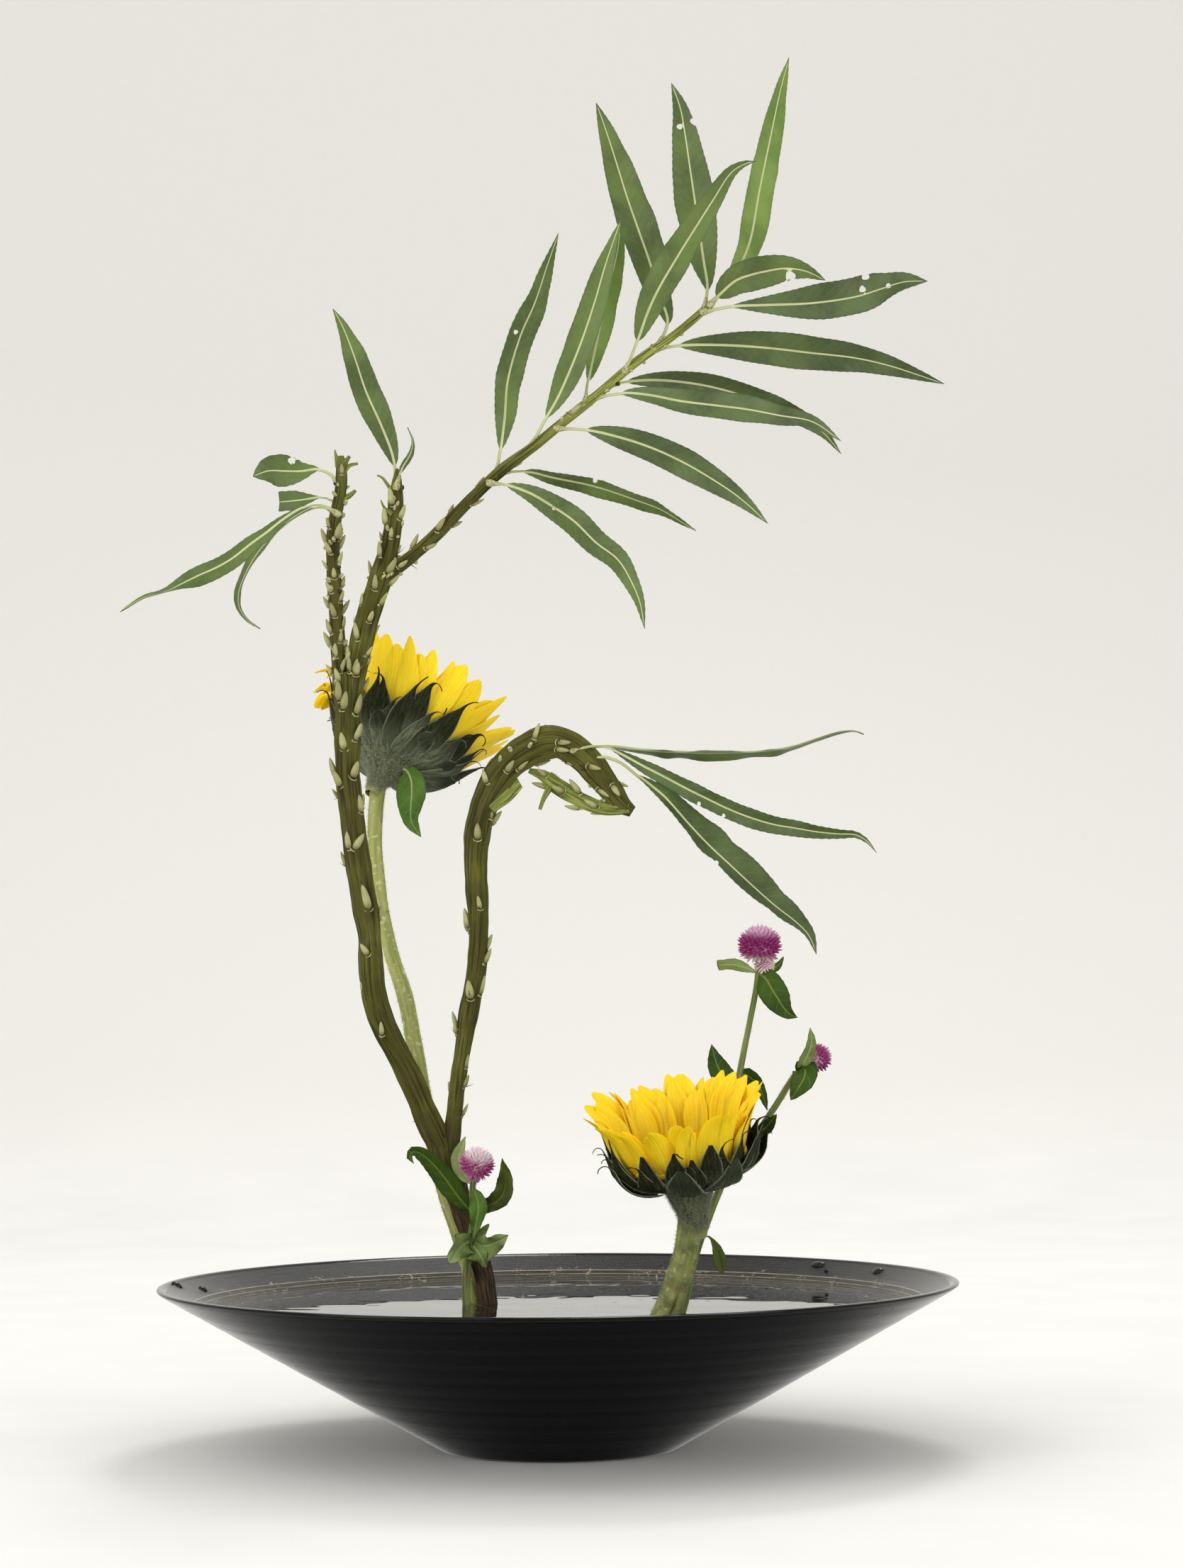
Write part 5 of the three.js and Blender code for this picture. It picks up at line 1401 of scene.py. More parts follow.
# The willow's leaves, from the left limb's top round to the bent right limb
WILLOW_LEAVES = [
    dict(path=[[-26, 441], [-24, 450], [-21.5, 468], [-20, 485], [-14, 506], [-7, 522], [-1, 540], [4, 554]],
         depth=[2, 0, -14, -30], width=13.2, stalk=12, turn=[10, 35], bites=[[-16, 508, 1.1]]),
    dict(path=[[-9, 455], [-4, 465], [3, 477], [13, 500], [20, 520], [26, 540], [33, 560]],
         depth=[1, -6, -14], width=13.5, stalk=14, turn=[-5, -15]),
    dict(path=[[15.5, 474], [17, 484], [20.5, 500], [26, 525], [31, 545], [33, 562]],
         depth=[0, 14, 34], width=12, stalk=13, turn=[25, 30]),
    dict(path=[[49, 500], [54, 512], [50, 525], [46, 540], [41, 555], [36, 570], [31, 587], [27, 600],
               [22, 615]],
         depth=[1, 10, 26], width=18, stalk=12, turn=[5, 10]),
    dict(path=[[71, 517.5], [72.5, 528], [71, 540], [69, 555], [67, 570], [65, 585], [63, 600], [61, 612],
               [57, 624]],
         depth=[1, 3, 8], width=18, stalk=9, turn=[0, -10], bites=[[60.5, 603.5, 1.4], [67.5, 606, 2]]),
    dict(path=[[34, 489], [38, 498], [41, 506], [45, 517], [50, 527.5], [59.5, 543.5], [68, 557], [76, 569.5],
               [84, 581.5], [90, 585.5], [96, 587]],
         depth=[-1, -14, -34], width=14, stalk=15, turn=[25, 15, 20], widest=0.36, halves=(1.15, 0.9)),
    dict(path=[[73.5, 519.5], [82, 530], [88.5, 540], [92.5, 550], [97, 573], [102.2, 597], [107.3, 620],
               [111.5, 635.5]],
         depth=[1.3, 16, 38], width=14, stalk=12, turn=[15, 25], widest=0.4),
    dict(path=[[73.5, 519.5], [79, 525.5], [86, 531.3], [93, 533.8], [99, 535.2], [108.6, 536.6],
               [118, 535.2], [127, 530.8]],
         depth=[-1.3, -7, -14], width=15, stalk=5, turn=[10, 20], widest=0.36, bites=[[110.8, 533, 2.3]]),
    dict(path=[[70, 516.5], [84, 519], [100, 519.5], [121, 520.2], [141, 523], [153.5, 526.8], [163, 529.6],
               [174, 530]],
         depth=[-1, -18, -44], width=17, stalk=12, turn=[10, -10], widest=0.56,
         bites=[[144, 526.5, 1.6], [145.5, 532.5, 1.8], [156, 528, 1.3]]),
    dict(path=[[47, 499], [60, 501], [80, 501], [100, 499.5], [120, 497], [140, 494.5], [155, 491],
               [170, 486], [181, 482]],
         depth=[0, 4, 12], width=15.5, stalk=12, turn=[10, 20]),
    dict(path=[[19.5, 477], [33, 479], [45, 478], [60, 475], [75, 473], [90, 471], [105, 468], [120, 465],
               [133, 456]],
         depth=[0, -16, -46], width=12.5, stalk=13, turn=[-15, 10]),
    dict(path=[[26, 482.5], [36, 484.5], [50, 485], [70, 482.5], [90, 477], [110, 469.5], [125, 460],
               [133, 450]],
         depth=[1, 18, 40], width=12, stalk=10, turn=[15, 30]),
    dict(path=[[2, 463], [17, 462], [30, 459], [45, 454], [60, 447], [75, 438], [85, 431], [93, 424],
               [99, 418]],
         depth=[-1, -10, -26], width=13.5, stalk=14, turn=[10, 20]),
    dict(path=[[-25, 442.5], [-10, 443], [0, 440.5], [20, 436], [40, 429], [50, 425], [66, 415]],
         depth=[3, 16, 34], width=10, stalk=12, turn=[45, 50], bites=[[20, 438.6, 1.2]]),
    dict(path=[[-29, 438], [-21, 437], [-10, 433], [0, 427], [10, 420], [20, 410], [30, 402], [36, 392],
               [40, 382], [42, 370]],
         depth=[0, -10, -26], width=12, stalk=8, turn=[0, 15], bites=[[1, 426, 1.0]]),
    dict(path=[[-71.3, 437], [-72.8, 450], [-78.2, 465], [-85.2, 481], [-90.6, 497.5], [-95.8, 511],
               [-100.2, 519.5]],
         depth=[6, 10, 20], width=13.5, stalk=9, turn=[0, 25]),
    dict(path=[[-71.5, 436], [-69, 445], [-65, 452], [-64, 458], [-66, 464]],
         depth=[3.5, 0, -4], width=4, stalk=6, turn=[30, 80]),
    dict(path=[[-97.5, 437], [-101.5, 442.5], [-107.5, 445], [-115, 444.2], [-122, 444.3], [-130, 444.5],
               [-137.2, 442]],
         depth=[5, 2, -8], width=14.5, stalk=11, turn=[0, -10], widest=0.6, bites=[[-119.3, 449, 1.8]]),
    dict(path=[[-97.5, 426], [-100.5, 430], [-105, 432], [-112, 431.2], [-118, 430.5], [-125, 430]],
         depth=[7, 10, 16], width=9, stalk=9, turn=[20, 0], widest=0.7, blunt=0.3),
    dict(path=[[-98, 424], [-104, 428], [-110, 428.5], [-116, 426.5], [-124, 421.5], [-131, 416], [-138, 411],
               [-147, 404], [-154, 400], [-162, 396.5], [-170, 392.5], [-176, 389.5], [-181, 388],
               [-188, 386], [-198, 380]],
         depth=[3, -8, -28], width=8.8, stalk=13, turn=[65, 30, 10, 10, 10, 75, 40], widest=0.55,
         halves=(1.3, 0.9)),
    dict(path=[[-98, 423], [-104, 427.2], [-110, 427], [-118, 423], [-124, 418.5], [-130, 412.5], [-136, 405],
               [-140.5, 397], [-143.5, 389], [-143.5, 382], [-140, 376], [-134, 371.5]],
         depth=[7, 16, 26], width=9, stalk=13, turn=[70, 55, 60]),
    dict(path=[[8, 315.5], [25, 315.8], [40, 314.3], [60, 313], [80, 312.8], [95, 313.2], [108, 315],
               [120, 318.8], [130, 321.7], [137, 322.2], [141.5, 320.5]],
         depth=[2, 4, -10], width=12, stalk=17, turn=[80, 76, 88]),
    dict(path=[[8, 314], [18, 316.2], [26, 315], [33, 311.5], [41, 307], [50, 302.3], [60, 296.8],
               [70, 291.7], [80, 286.8], [90, 282.8], [100, 279.8], [110, 278], [120, 276.2], [130, 275.2],
               [137, 274.8], [142, 272], [146.5, 266.5]],
         depth=[-2, -14, -34], width=9.2, stalk=17, turn=[25, 20], widest=0.45, bites=[[66, 289.5, 0.9],
         [77, 284, 0.9]]),
    dict(path=[[14, 309.5], [22, 311.3], [30, 308.8], [38, 302.6], [45, 297], [50, 292.7], [55, 287.2],
               [61, 280.2], [70, 270.5], [80, 261], [90, 251.5], [100, 242.5], [110, 234.5], [115, 229],
               [118.5, 220.5]],
         depth=[0, -10, -26], width=16, stalk=26, turn=[0, -35, -32, -25], fold=0.32, widest=0.5,
         halves=(1.2, 0.8), bites=[[73.5, 262.5, 1.2]]),
]

# The leaves whose green isn't the common one, by their number
LEAF_AGES = {
    **dict.fromkeys((3, 7), "fresh"),
    **dict.fromkeys((9, 10, 11, 12, 13, 23, 24), "deep"),
}


class IKEBANA_OT_willow_leaves(bpy.types.Operator):
    """Adds the willow's leaves, each in place of its node"""

    bl_idname = "ikebana.willow_leaves"
    bl_label = "Willow leaves"

    def execute(self, context):
        for number, spec in enumerate(WILLOW_LEAVES, 1):
            shape = Shape(f"willow_blade_{number:02d}")
            leaf(shape, **spec, seed=number)
            upper = leaf_upper(LEAF_AGES.get(number, "common"))
            shape.build("willow_leaf", [upper, leaf_under(), leaf_rib()], f"willow_leaf_{number:02d}")
        return {"FINISHED"}


# Sunflowers

HIGH_SUNFLOWER = dict(
    stem=[
        [-22.5, 12, 25, 5], [-30, 38, 23, 5], [-37.5, 65, 21.5, 5], [-41.2, 80, 21.5, 5.2], [-46, 98, 22, 6],
        [-50.5, 112, 22.5, 6.4], [-55.5, 133, 24, 6.4], [-60.5, 160, 27, 7], [-64.5, 182, 30, 7.4],
        [-68.5, 203, 33, 7.4], [-74.2, 221, 35, 6.9], [-78.5, 240, 37, 6.8], [-80.8, 257, 39, 7],
        [-82, 275, 40.5, 7], [-81.2, 291, 41.5, 7.2], [-80, 301, 42.5, 8.5], [-79, 305, 43.5, 9.4],
    ],
    neck=[-80, 302, 42.5],
    axis=[0.365, 0.455, 0.8125],
    rays=[[26.4, 20.6], [32.5, 29], [38.5, 37.5], [44, 45.5], [48.5, 52.5]],
    width=13.5,
    flare=5,
    front=(0.94, 1.0),
    front_width=1.0,
    back=1.0,
    droop=19,
    hairs=6000,
    woolly_from=0.955,
    twist=0.28,
    neck_profile=[[3.2, -9], [3.7, -6], [4.5, -2.6], [5.7, 0.8], [7.4, 3.5]],
    scales=[9, [[17, 9.8], [22.5, 11.4], [27.5, 13.4], [31.5, 17.4]], 13.5, 0.2],
    lift=0,
    woolly_rows=2,
    seed=21,
)
LOW_SUNFLOWER = dict(
    stem=[
        [29, 9.5, -31.5, 10.5], [38, 38, -45, 10.5], [46, 55, -53, 10.5], [50.5, 65, -56, 10.5],
        [54.3, 75, -58, 10.4], [57.3, 85, -60, 10], [59.2, 95, -62, 10.4], [60.4, 104, -63.5, 10.6],
        [60.6, 110, -64.5, 12],
    ],
    neck=[60.6, 108, -64],
    axis=[-0.15, -0.22, 0.964],
    rays=[[26.4, 20.6], [28.6, 27], [30.8, 34], [34.4, 41], [39.5, 46.5]],
    width=13.4,
    flare=0.6,
    front=(0.74, 1.08),
    front_width=0.76,
    back=1.09,
    droop=0,
    hairs=4200,
    woolly_from=0.84,
    twist=0.55,
    neck_profile=[[4.4, -15], [5.3, -11], [6.1, -7], [7.2, -2.6], [8.5, 1], [9.6, 3.6]],
    scales=[7, [[15.5, 6.6], [22.5, 8.4], [28.8, 12.6], [32.6, 18.5], [33.8, 24.5]], 16.5, 0.35],
    lift=3,
    woolly_rows=1,
    seed=23,
)
RAY_OUTLINE = np.array([0.45, 0.66, 0.82, 0.92, 0.98, 1, 1, 0.99, 0.96, 0.9, 0.79, 0.58, 0.16])
# How much a petal narrows towards its tip where it is a pointed one
POINTED = np.clip(np.arange(13) / 4 - 1.5, 0, 1)
BRACT_OUTLINE = [0.8, 0.94, 1, 1, 0.97, 0.88, 0.7, 0.44, 0.2, 0.07, 0.045, 0.04]
ROUND_OUTLINE = [0.7, 0.9, 1, 1, 1, 0.98, 0.93, 0.84, 0.7, 0.48, 0.2]
# Rows of bracts from the neck up: [count, stations of radius and height, width, turn of the row in radians]
BRACT_ROWS = [
    [11, [[15.5, 8.6], [21.5, 11], [27, 14], [30.6, 19], [32, 24]], 14.5, 0.55],
    [13, [[19.5, 10.2], [26, 13.2], [30.4, 18.4], [32.2, 24], [33, 29]], 13, 0.1],
    [14, [[24, 12.2], [29.4, 16.8], [31.8, 22.5], [33, 28], [33.8, 32.5]], 11.5, 0.4],
]
# How many hairs a bract of each row has
BRACT_HAIRS = (240, 110, 60, 40)
# How much of its row's shift outwards each station of a petal takes
SHIFTED = np.array([0.3, 0.65, 0.9, 1.15, 1.4])
DISC_FOOT, DISC_RISE, DISC_RADIUS = 20.3, 5.0, 24.2
FLORETS, FLORET_RADIUS = 420, 23.6
FLORET = [(0, 0.8), (0.55, 0.85), (0.8, 1.1), (0.92, 1.25), (1, 0.75)]
STEM_SKIN, BRACT_SKIN, WOOL, NECK_SKIN, SCALE_SKIN = range(5)


def keyed_rows(rows, count):
    """As many evenly spaced rows of spots, read off the given ones."""
    place = np.linspace(0, len(rows) - 1, count)
    low = np.minimum(place.astype(int), len(rows) - 2)
    return rows[low] + (rows[low + 1] - rows[low]) * (place - low)[:, None, None]


def hooked(stations, turn, step):
    """Adds a hair-thin tip, which bends outwards by an angle in radians."""
    (r0, h0), (r1, h1) = stations[-2:]
    way = math.atan2(h1 - h0, r1 - r0)
    for _ in range(5):
        way -= turn / 5
        r1, h1 = r1 + step * math.cos(way), h1 + step * math.sin(way)
        stations = [*stations, [r1, h1]]
    return stations


def add_hairs(shape, skins, count, length, thickness, finish, seed):
    """Hairs on the part of a stem that stands out of the water."""
    rings, outs = skins
    dry = rings[..., 2] > sizes().water_level / MM
    wool(shape, (rings[dry], outs[dry]), count, length, thickness, finish, seed)


def add_calyx(shape, head, spec):
    """The head's body and its rows of bracts, with wool on them and on the neck."""
    seed = spec["seed"]

    def raised(height):
        return height + spec["lift"] * max(0, 1 - height / 20)

    body = [[r, raised(h)] for r, h in ([10.9, 6], [16, 9], [22.5, 12], [26.2, 15.6])]
    profile = [*spec["neck_profile"], *body, [27.4, 19.9], [0.01, 19.9]]
    skins = turned(shape, head, profile, 56, NECK_SKIN, 0.02)
    wool(shape, [keyed_rows(v[1:9], 26) for v in skins], 6200, 1.5, 0.1, WOOL, seed)
    roll = random.Random(seed)
    for row, (count, stations, width, shift) in enumerate([spec["scales"], *BRACT_ROWS]):
        spread = [[r + spec["flare"] * (max(0, h - 12) / 21) ** 1.5, raised(h)] for r, h in stations]
        spread = np.array(spread)
        along = np.linspace(0, 1, len(spread))
        finish = SCALE_SKIN if row < spec["woolly_rows"] else BRACT_SKIN
        outline, steps = (BRACT_OUTLINE, 30) if row else (ROUND_OUTLINE, 18)
        for k in range(count):
            angle = TAU * (k + 0.32 * (roll.random() - 0.5)) / count + shift + seed
            longer = roll.uniform(0.9, 1.1)
            lean = roll.uniform(-0.5, 1.3) + (2.5 if roll.random() < 0.2 else 0)
            spots = spread[0] + (spread - spread[0]) * longer
            spots[:, 0] += lean * along**2
            if row:
                spots = hooked(spots, roll.uniform(-0.4, 3.4), roll.uniform(0.9, 1.6))
            blade = head_blade(
                shape, head, angle, spots, width * roll.uniform(0.88, 1.1), outline,
                rise=roll.uniform(0.1, 0.32), thick=0.6, finish=finish, rows=steps,
                drift=roll.uniform(-0.16, 0.16), roll=roll.uniform(-0.22, 0.22), ribs=0.15, seed=k,
            )
            woolly = [
                np.concatenate([v[1:16, 0], v[1:16, -1], v[:8, 2], v[:8, 4], v[:8, 6]]) for v in blade
            ]
            wool(shape, woolly, BRACT_HAIRS[row], 1.1, 0.09, WOOL, seed * 100 + row * 20 + k)


def add_rays(shape, head, spec, count):
    """Loose rows of broad, overlapping petals on a low ring."""
    turned(shape, head, [[24.8, 20.2], [27.2, 20.2], [27.4, 21.6], [26, 22.6], [24.8, 21.6], [24.8, 20.2]])
    roll = random.Random(spec["seed"])
    rays = np.array(spec["rays"])
    along = np.linspace(0, 1, len(rays))
    # Rows: number, size, turn in radians, and how far outwards they stand
    rows = ((count, 1.0, 0.0, 0.3), (count, 0.95, 0.17, -0.9), (count - 6, 0.82, 0.4, -2.2))
    for number, size, shift, outwards in rows:
        for k in range(number):
            angle = TAU * (k + 0.5 * (roll.random() - 0.5)) / number + shift
            longer = size * roll.uniform(0.88, 1.05)
            width = spec["width"] * size
            if head.out(angle)[1] < -0.35:
                longer *= roll.uniform(*spec["front"])
                width *= spec["front_width"]
            elif head.out(angle)[1] > 0.2:
                longer *= spec["back"]
            lift = roll.uniform(-1.2, 1.2)
            # The petals at the head's left hang over.
            fall = spec["droop"] * min(1, max(0, -math.cos(angle) - 0.75) / 0.15)
            spots = rays[0] + (rays - rays[0]) * longer
            spots[:, 0] += outwards * SHIFTED - lift * along
            spots[:, 1] += lift * along - fall * along**3
            spots[-1, 0] += roll.uniform(-1.2, 0.8)
            width *= roll.uniform(0.86, 1.1)
            head_blade(
                shape, head, angle, spots, width, RAY_OUTLINE * roll.uniform(0.5, 1) ** POINTED,
                rise=roll.uniform(0.1, 0.36), thick=0.42, finish=0, rows=20, drift=roll.uniform(-0.1, 0.1),
                roll=roll.uniform(-spec["twist"], spec["twist"]), ribs=0.14, seed=k + number,
            )


def dome(radius):
    return DISC_FOOT + DISC_RISE - 3.2 * (radius / 25) ** 2


def add_disc(shape, head):
    """A low dome of tubular florets in a golden spiral."""
    top = [[radius, dome(radius) - 0.6] for radius in np.linspace(DISC_RADIUS, 0.01, 12)]
    turned(shape, head, [[0.01, DISC_FOOT], [DISC_RADIUS, DISC_FOOT], *top])
    number = np.arange(FLORETS)
    radius = FLORET_RADIUS * np.sqrt((number + 0.5) / FLORETS)
    angle = number * GOLDEN_ANGLE
    feet = head.spot(radius, dome(radius) - 1, angle)
    ways = head.up + 0.012 * radius[:, None] * head.out(angle)
    length = np.interp(radius, [0, 8, 18, FLORET_RADIUS], [1.8, 2.2, 2.6, 2.2])
    tone = radius / FLORET_RADIUS
    forms(shape, feet, ways, head.out(angle + 1.5), length, 1.5, 1.5, FLORET, 6, tone=tone)


class IKEBANA_OT_sunflowers(bpy.types.Operator):
    """Adds the two sunflowers: stem with calyx, petals and disc, and the small leaf under the high head"""

    bl_idname = "ikebana.sunflowers"
    bl_label = "Sunflowers"

    def execute(self, context):
        self.add_sunflower("high", HIGH_SUNFLOWER, sizes().high_rays)
        self.add_sunflower("low", LOW_SUNFLOWER, sizes().low_rays)
        shape = Shape("sunflower_high_blade")
        path = [[-71.5, 308], [-67.5, 306], [-65.4, 302], [-65, 296], [-65.5, 289], [-65.3, 283],
        [-61, 275.5]]
        leaf(shape, path, [42, 36, 31, 28, 27], 13.5, stalk=6, turn=[5, 10], widest=0.36, seed=40)
        skins = [broad_leaf("fresh"), broad_leaf_under(), leaf_rib()]
        shape.build("sunflower_leaf", skins, "sunflower_high_leaf")
        return {"FINISHED"}

    def add_sunflower(self, name, spec, count):
        head = Head(spec["neck"], spec["axis"])
        green = Shape(f"sunflower_{name}_green")
        skins = stem(green, spec["stem"], 2.0, 26, STEM_SKIN, 0.045, spec["seed"])
        add_hairs(green, skins, spec["hairs"], 1.2, 0.09, WOOL, spec["seed"])
        add_calyx(green, head, spec)
        stem_skin = sunflower_skin(name, spec["woolly_from"])
        skins = [stem_skin, woolly_bract(), plant_wool(), woolly_neck(), woolly_scale()]
        green.build("sunflower_green", skins, f"sunflower_{name}_stem")
        rays = Shape(f"sunflower_{name}_rays")
        add_rays(rays, head, spec, count)
        rays.build("sunflower_petal", [ray_petal()], f"sunflower_{name}_petals")
        disc = Shape(f"sunflower_{name}_florets")
        add_disc(disc, head)
        disc.build("sunflower_disc", [disc_floret()], f"sunflower_{name}_disc")


# Globe amaranths

LEFT_AMARANTH = dict(
    stems=[[
        [-36, 12, 12, 3.6], [-40, 45, 12, 3.6], [-41.6, 68, 12, 3.6], [-41, 82, 9, 3.4],
        [-39.2, 94, 5.5, 3.4], [-37.8, 104, 3, 3], [-38.6, 114, -1, 2.8], [-37.8, 122.5, -3.6, 2.6],
    ]],
    leaves=[
        dict(path=[[-39, 106], [-42, 109], [-46, 114], [-51, 121], [-56, 127], [-61, 131.5], [-65, 133],
                   [-67, 131], [-65, 127.5]],
             depth=[3, -2, -8], width=10, turn=[-20, 0], widest=0.4),
        dict(path=[[-38, 105], [-33, 108], [-28, 110], [-24.5, 114], [-23.6, 120], [-24.2, 126],
                   [-25, 129.5]],
             depth=[3, -2, -10], width=8.5, turn=[10, -15], wave=0.5, crinkle=12, ragged=0.1, age="withered"),
        dict(path=[[-38.2, 93], [-37.5, 98], [-36.6, 103], [-36, 108], [-37, 113], [-39, 116.5]],
             depth=[4, -2, -3], width=8, turn=[0, 10], widest=0.6, wave=0.35, crinkle=11, ragged=0.1,
             age="fresh"),
        dict(path=[[-39, 118], [-43.5, 124], [-45, 130], [-43.5, 135], [-41.5, 139.5]],
             depth=[-3, 4, 5], width=7, turn=[10, 0], age="pale"),
        dict(path=[[-39, 93], [-43, 91], [-46, 87.5], [-49.5, 82.5]],
             depth=[6, 0, -4], width=10.5, turn=[-10, -20], wave=0.6, crinkle=8, ragged=0.14, age="pale"),
        dict(path=[[-38.5, 92], [-34, 90.5], [-29, 91.5], [-22.5, 95]],
             depth=[6, 0, -4], width=10.5, turn=[10, 20], wave=0.6, crinkle=8, ragged=0.14, age="pale"),
        dict(path=[[-38.5, 91], [-36, 87.5], [-34, 84], [-32.5, 80.5]],
             depth=[6, 0, 2], width=8.5, turn=[15, 10], wave=0.6, crinkle=7, ragged=0.14, age="pale"),
        dict(path=[[-38.5, 91], [-35, 96],
                   [-31, 100]], depth=[6, 6, 3], width=4.6, turn=[10, 20], wave=0.4, crinkle=7,
             age="pale"),
    ],
)
RIGHT_AMARANTH = dict(
    stems=[
        [
            [36, 9, -22, 3.4], [47, 38, -32, 3.4], [56.4, 62, -40, 3.4], [60.3, 78, -41, 3.2],
            [64, 91, -40, 3.2], [66.5, 98.5, -39, 4], [70.5, 108, -35, 3.2], [75.8, 122, -28, 3.6],
            [79.3, 142, -22, 3], [82.8, 166, -18, 2.8], [87.8, 190, -18, 2.7], [91.2, 207, -19, 2.6],
            [92.3, 219, -20.4, 2.6],
        ],
        [
            [75.2, 120, -28.5, 3], [82, 129, -27, 3], [91, 140.5, -28, 2.8], [100, 153.5, -31, 2.8],
            [107.5, 165, -34, 2.7], [115.4, 173, -35, 2.6],
        ],
        [[90.3, 138, -28, 2], [94.2, 136.8, -31, 1.3]],
        [[88, 134.3, -27, 2], [94.4, 134.2, -31, 1.6]],
    ],
    leaves=[
        dict(path=[[92, 212], [86, 214.5], [80, 216],
                   [73.5, 215.6]], depth=[-20, -26, -30], width=6, turn=[30, 20],
             widest=0.6, blunt=0.2, age="pale"),
        dict(path=[[93, 212], [98, 214], [101, 215.5],
                   [103.6, 219.5]], depth=[-20, -14, -12], width=4, turn=[20, 20]),
        dict(path=[[92.5, 212], [95.5, 209.5], [98, 205], [100.5, 201], [103, 197], [105.5, 194],
                   [109.5, 191.8]],
             depth=[-20, -27, -32], width=13, turn=[5, 20], widest=0.4),
        dict(path=[[81.5, 157], [77, 163], [73.5, 169], [71.7, 174], [70.4, 180]],
             depth=[-19, -12, -6], width=10.5, turn=[10, 0], widest=0.35),
        dict(path=[[82, 158], [84.5, 166.5], [89.5, 163.8], [93, 158.5], [95.3, 150]],
             depth=[-18, -14, -20], width=7, turn=[15, 30]),
        dict(path=[[90.5, 140], [94, 142], [96.5, 144.5],
                   [99.5, 148.2]], depth=[-28, -33, -37], width=6, turn=[10, 0]),
        dict(path=[[109, 167], [112, 171.5], [114.8, 177], [115.6, 181], [115.2, 187]],
             depth=[-34.5, -41, -44, -44, -42], width=5.6, turn=[0, 30], widest=0.5, age="pale"),
        dict(path=[[109, 167], [112.6, 168.5], [112.2, 164.5], [109.5, 160], [106, 154.5]],
             depth=[-34.5, -40, -44, -45, -44], width=11, turn=[15, 10], widest=0.45),
        dict(path=[[65.5, 93], [68, 93.6], [71, 90], [72.8, 86], [73.6, 81.5], [74, 76.5]],
             depth=[-40, -44, -46], width=5, turn=[20, 60, 20], widest=0.68, wave=0.6, age="withered"),
    ],
)
# Heads: [node, where, [radius, half height], axis, number of bracts, radius and drop of the woolly foot,
# how far that foot is shifted]
AMARANTH_HEADS = [
    ["amaranth_left_head", [-36.5, 127, -5], [8.2, 7.2], [0.2, -0.42, 0.88], 190, [3.4, 7.2], 0.0],
    ["amaranth_right_head_high", [92.7, 224.5, -21], [10, 8.8], [0.04, -0.1, 0.99], 260, [5.4, 8.6], 2.4],
    ["amaranth_right_head_low", [118.3, 173.5, -33.5], [6.6, 6], [0.8, 0.5, 0.25], 150, [3.2, 5.6], 0.0],
]
SCALE = [(0, 0.5), (0.2, 0.95), (0.45, 1), (0.7, 0.72), (0.88, 0.36), (1, 0.04)]


def add_amaranth_head(shape, where, size, axis, count, foot, shift, seed):
    """A ball of pointed, papery bracts in a golden spiral, which lean up the head, on a pale woolly foot."""
    head = Head(where, axis)
    roll = np.random.default_rng(seed)

    def ball(radius, half, drop, aside, count, lowest, length, lean):
        """Bracts round a ball, which is shifted down the axis and to the side."""
        core = Head(where, axis)
        core.origin = head.origin - head.up * drop + head.side * aside
        arc = np.linspace(0.01, math.pi - 0.01, 12)
        turned(shape, core, np.stack([radius * 0.7 * np.sin(arc), -half * 0.7 * np.cos(arc)], -1), 24)
        height = 1 - 2 * (np.arange(count) + 0.5) / count
        height = height[height > lowest]
        ring = np.sqrt(1 - height**2)
        angle = np.arange(len(height)) * GOLDEN_ANGLE
        out = head.out(angle) * ring[:, None] + head.up * height[:, None]
        feet = core.spot(ring * radius * 0.52, height * half * 0.52, angle)
        ways = out + head.up * (lean * ring)[:, None] + roll.normal(0, 0.07, out.shape)
        lengths = radius * length * roll.uniform(0.88, 1.1, len(height))
        width = radius * roll.uniform(0.18, 0.24, len(height))
        tone = (height + 1) / 2 if drop == 0 else np.zeros(len(height))
        # The small shift gives a bract that stands right along the axis a side too.
        side = np.cross(out, head.up) + 1e-3
        forms(shape, feet, ways, side, lengths, width, width * 0.6, SCALE, 6, tone=tone)

    ball(*size, 0, 0, count, -0.86, 0.52, 0.42)
    ball(foot[0], foot[0] * 0.75, foot[1], shift, 130, -0.9, 0.44, -0.1)


class IKEBANA_OT_amaranths(bpy.types.Operator):
    """Adds the two globe amaranth plants and their three heads"""

    bl_idname = "ikebana.amaranths"
    bl_label = "Globe amaranths"

    def execute(self, context):
        stalk, under, down, first_leaf = 0, 1, 2, 3
        for name, plant in (("left", LEFT_AMARANTH), ("right", RIGHT_AMARANTH)):
            shape = Shape(f"amaranth_{name}_green")
            for seed, stations in enumerate(plant["stems"]):
                skins = stem(shape, stations, 1.8, 14, stalk, 0.05, seed + 50)
                add_hairs(shape, skins, 900 if seed < 2 else 60, 0.9, 0.1, down, seed + 60)
            for seed, spec in enumerate(plant["leaves"]):
                spec = {"age": "deep", **spec}
                upper = first_leaf + list(BROAD_GREENS).index(spec.pop("age"))
                leaf(shape, **spec, finishes=(upper, under, stalk), rib=0.55, seed=seed + 70)
            skins = [amaranth_skin(), broad_leaf_under(), plant_wool(), *map(broad_leaf, BROAD_GREENS)]
            shape.build("amaranth_green", skins, f"amaranth_{name}_stem")
        for seed, (node_name, *spec) in enumerate(AMARANTH_HEADS):
            shape = Shape(node_name.replace("head", "globe"))
            add_amaranth_head(shape, *spec, seed + 80)
            if node_name == "amaranth_left_head":
                shape.build("amaranth_head_pale", [pale_purple_scale()], node_name)
            else:
                shape.build("amaranth_head", [purple_scale()], node_name)
        return {"FINISHED"}


# Stage, in metres

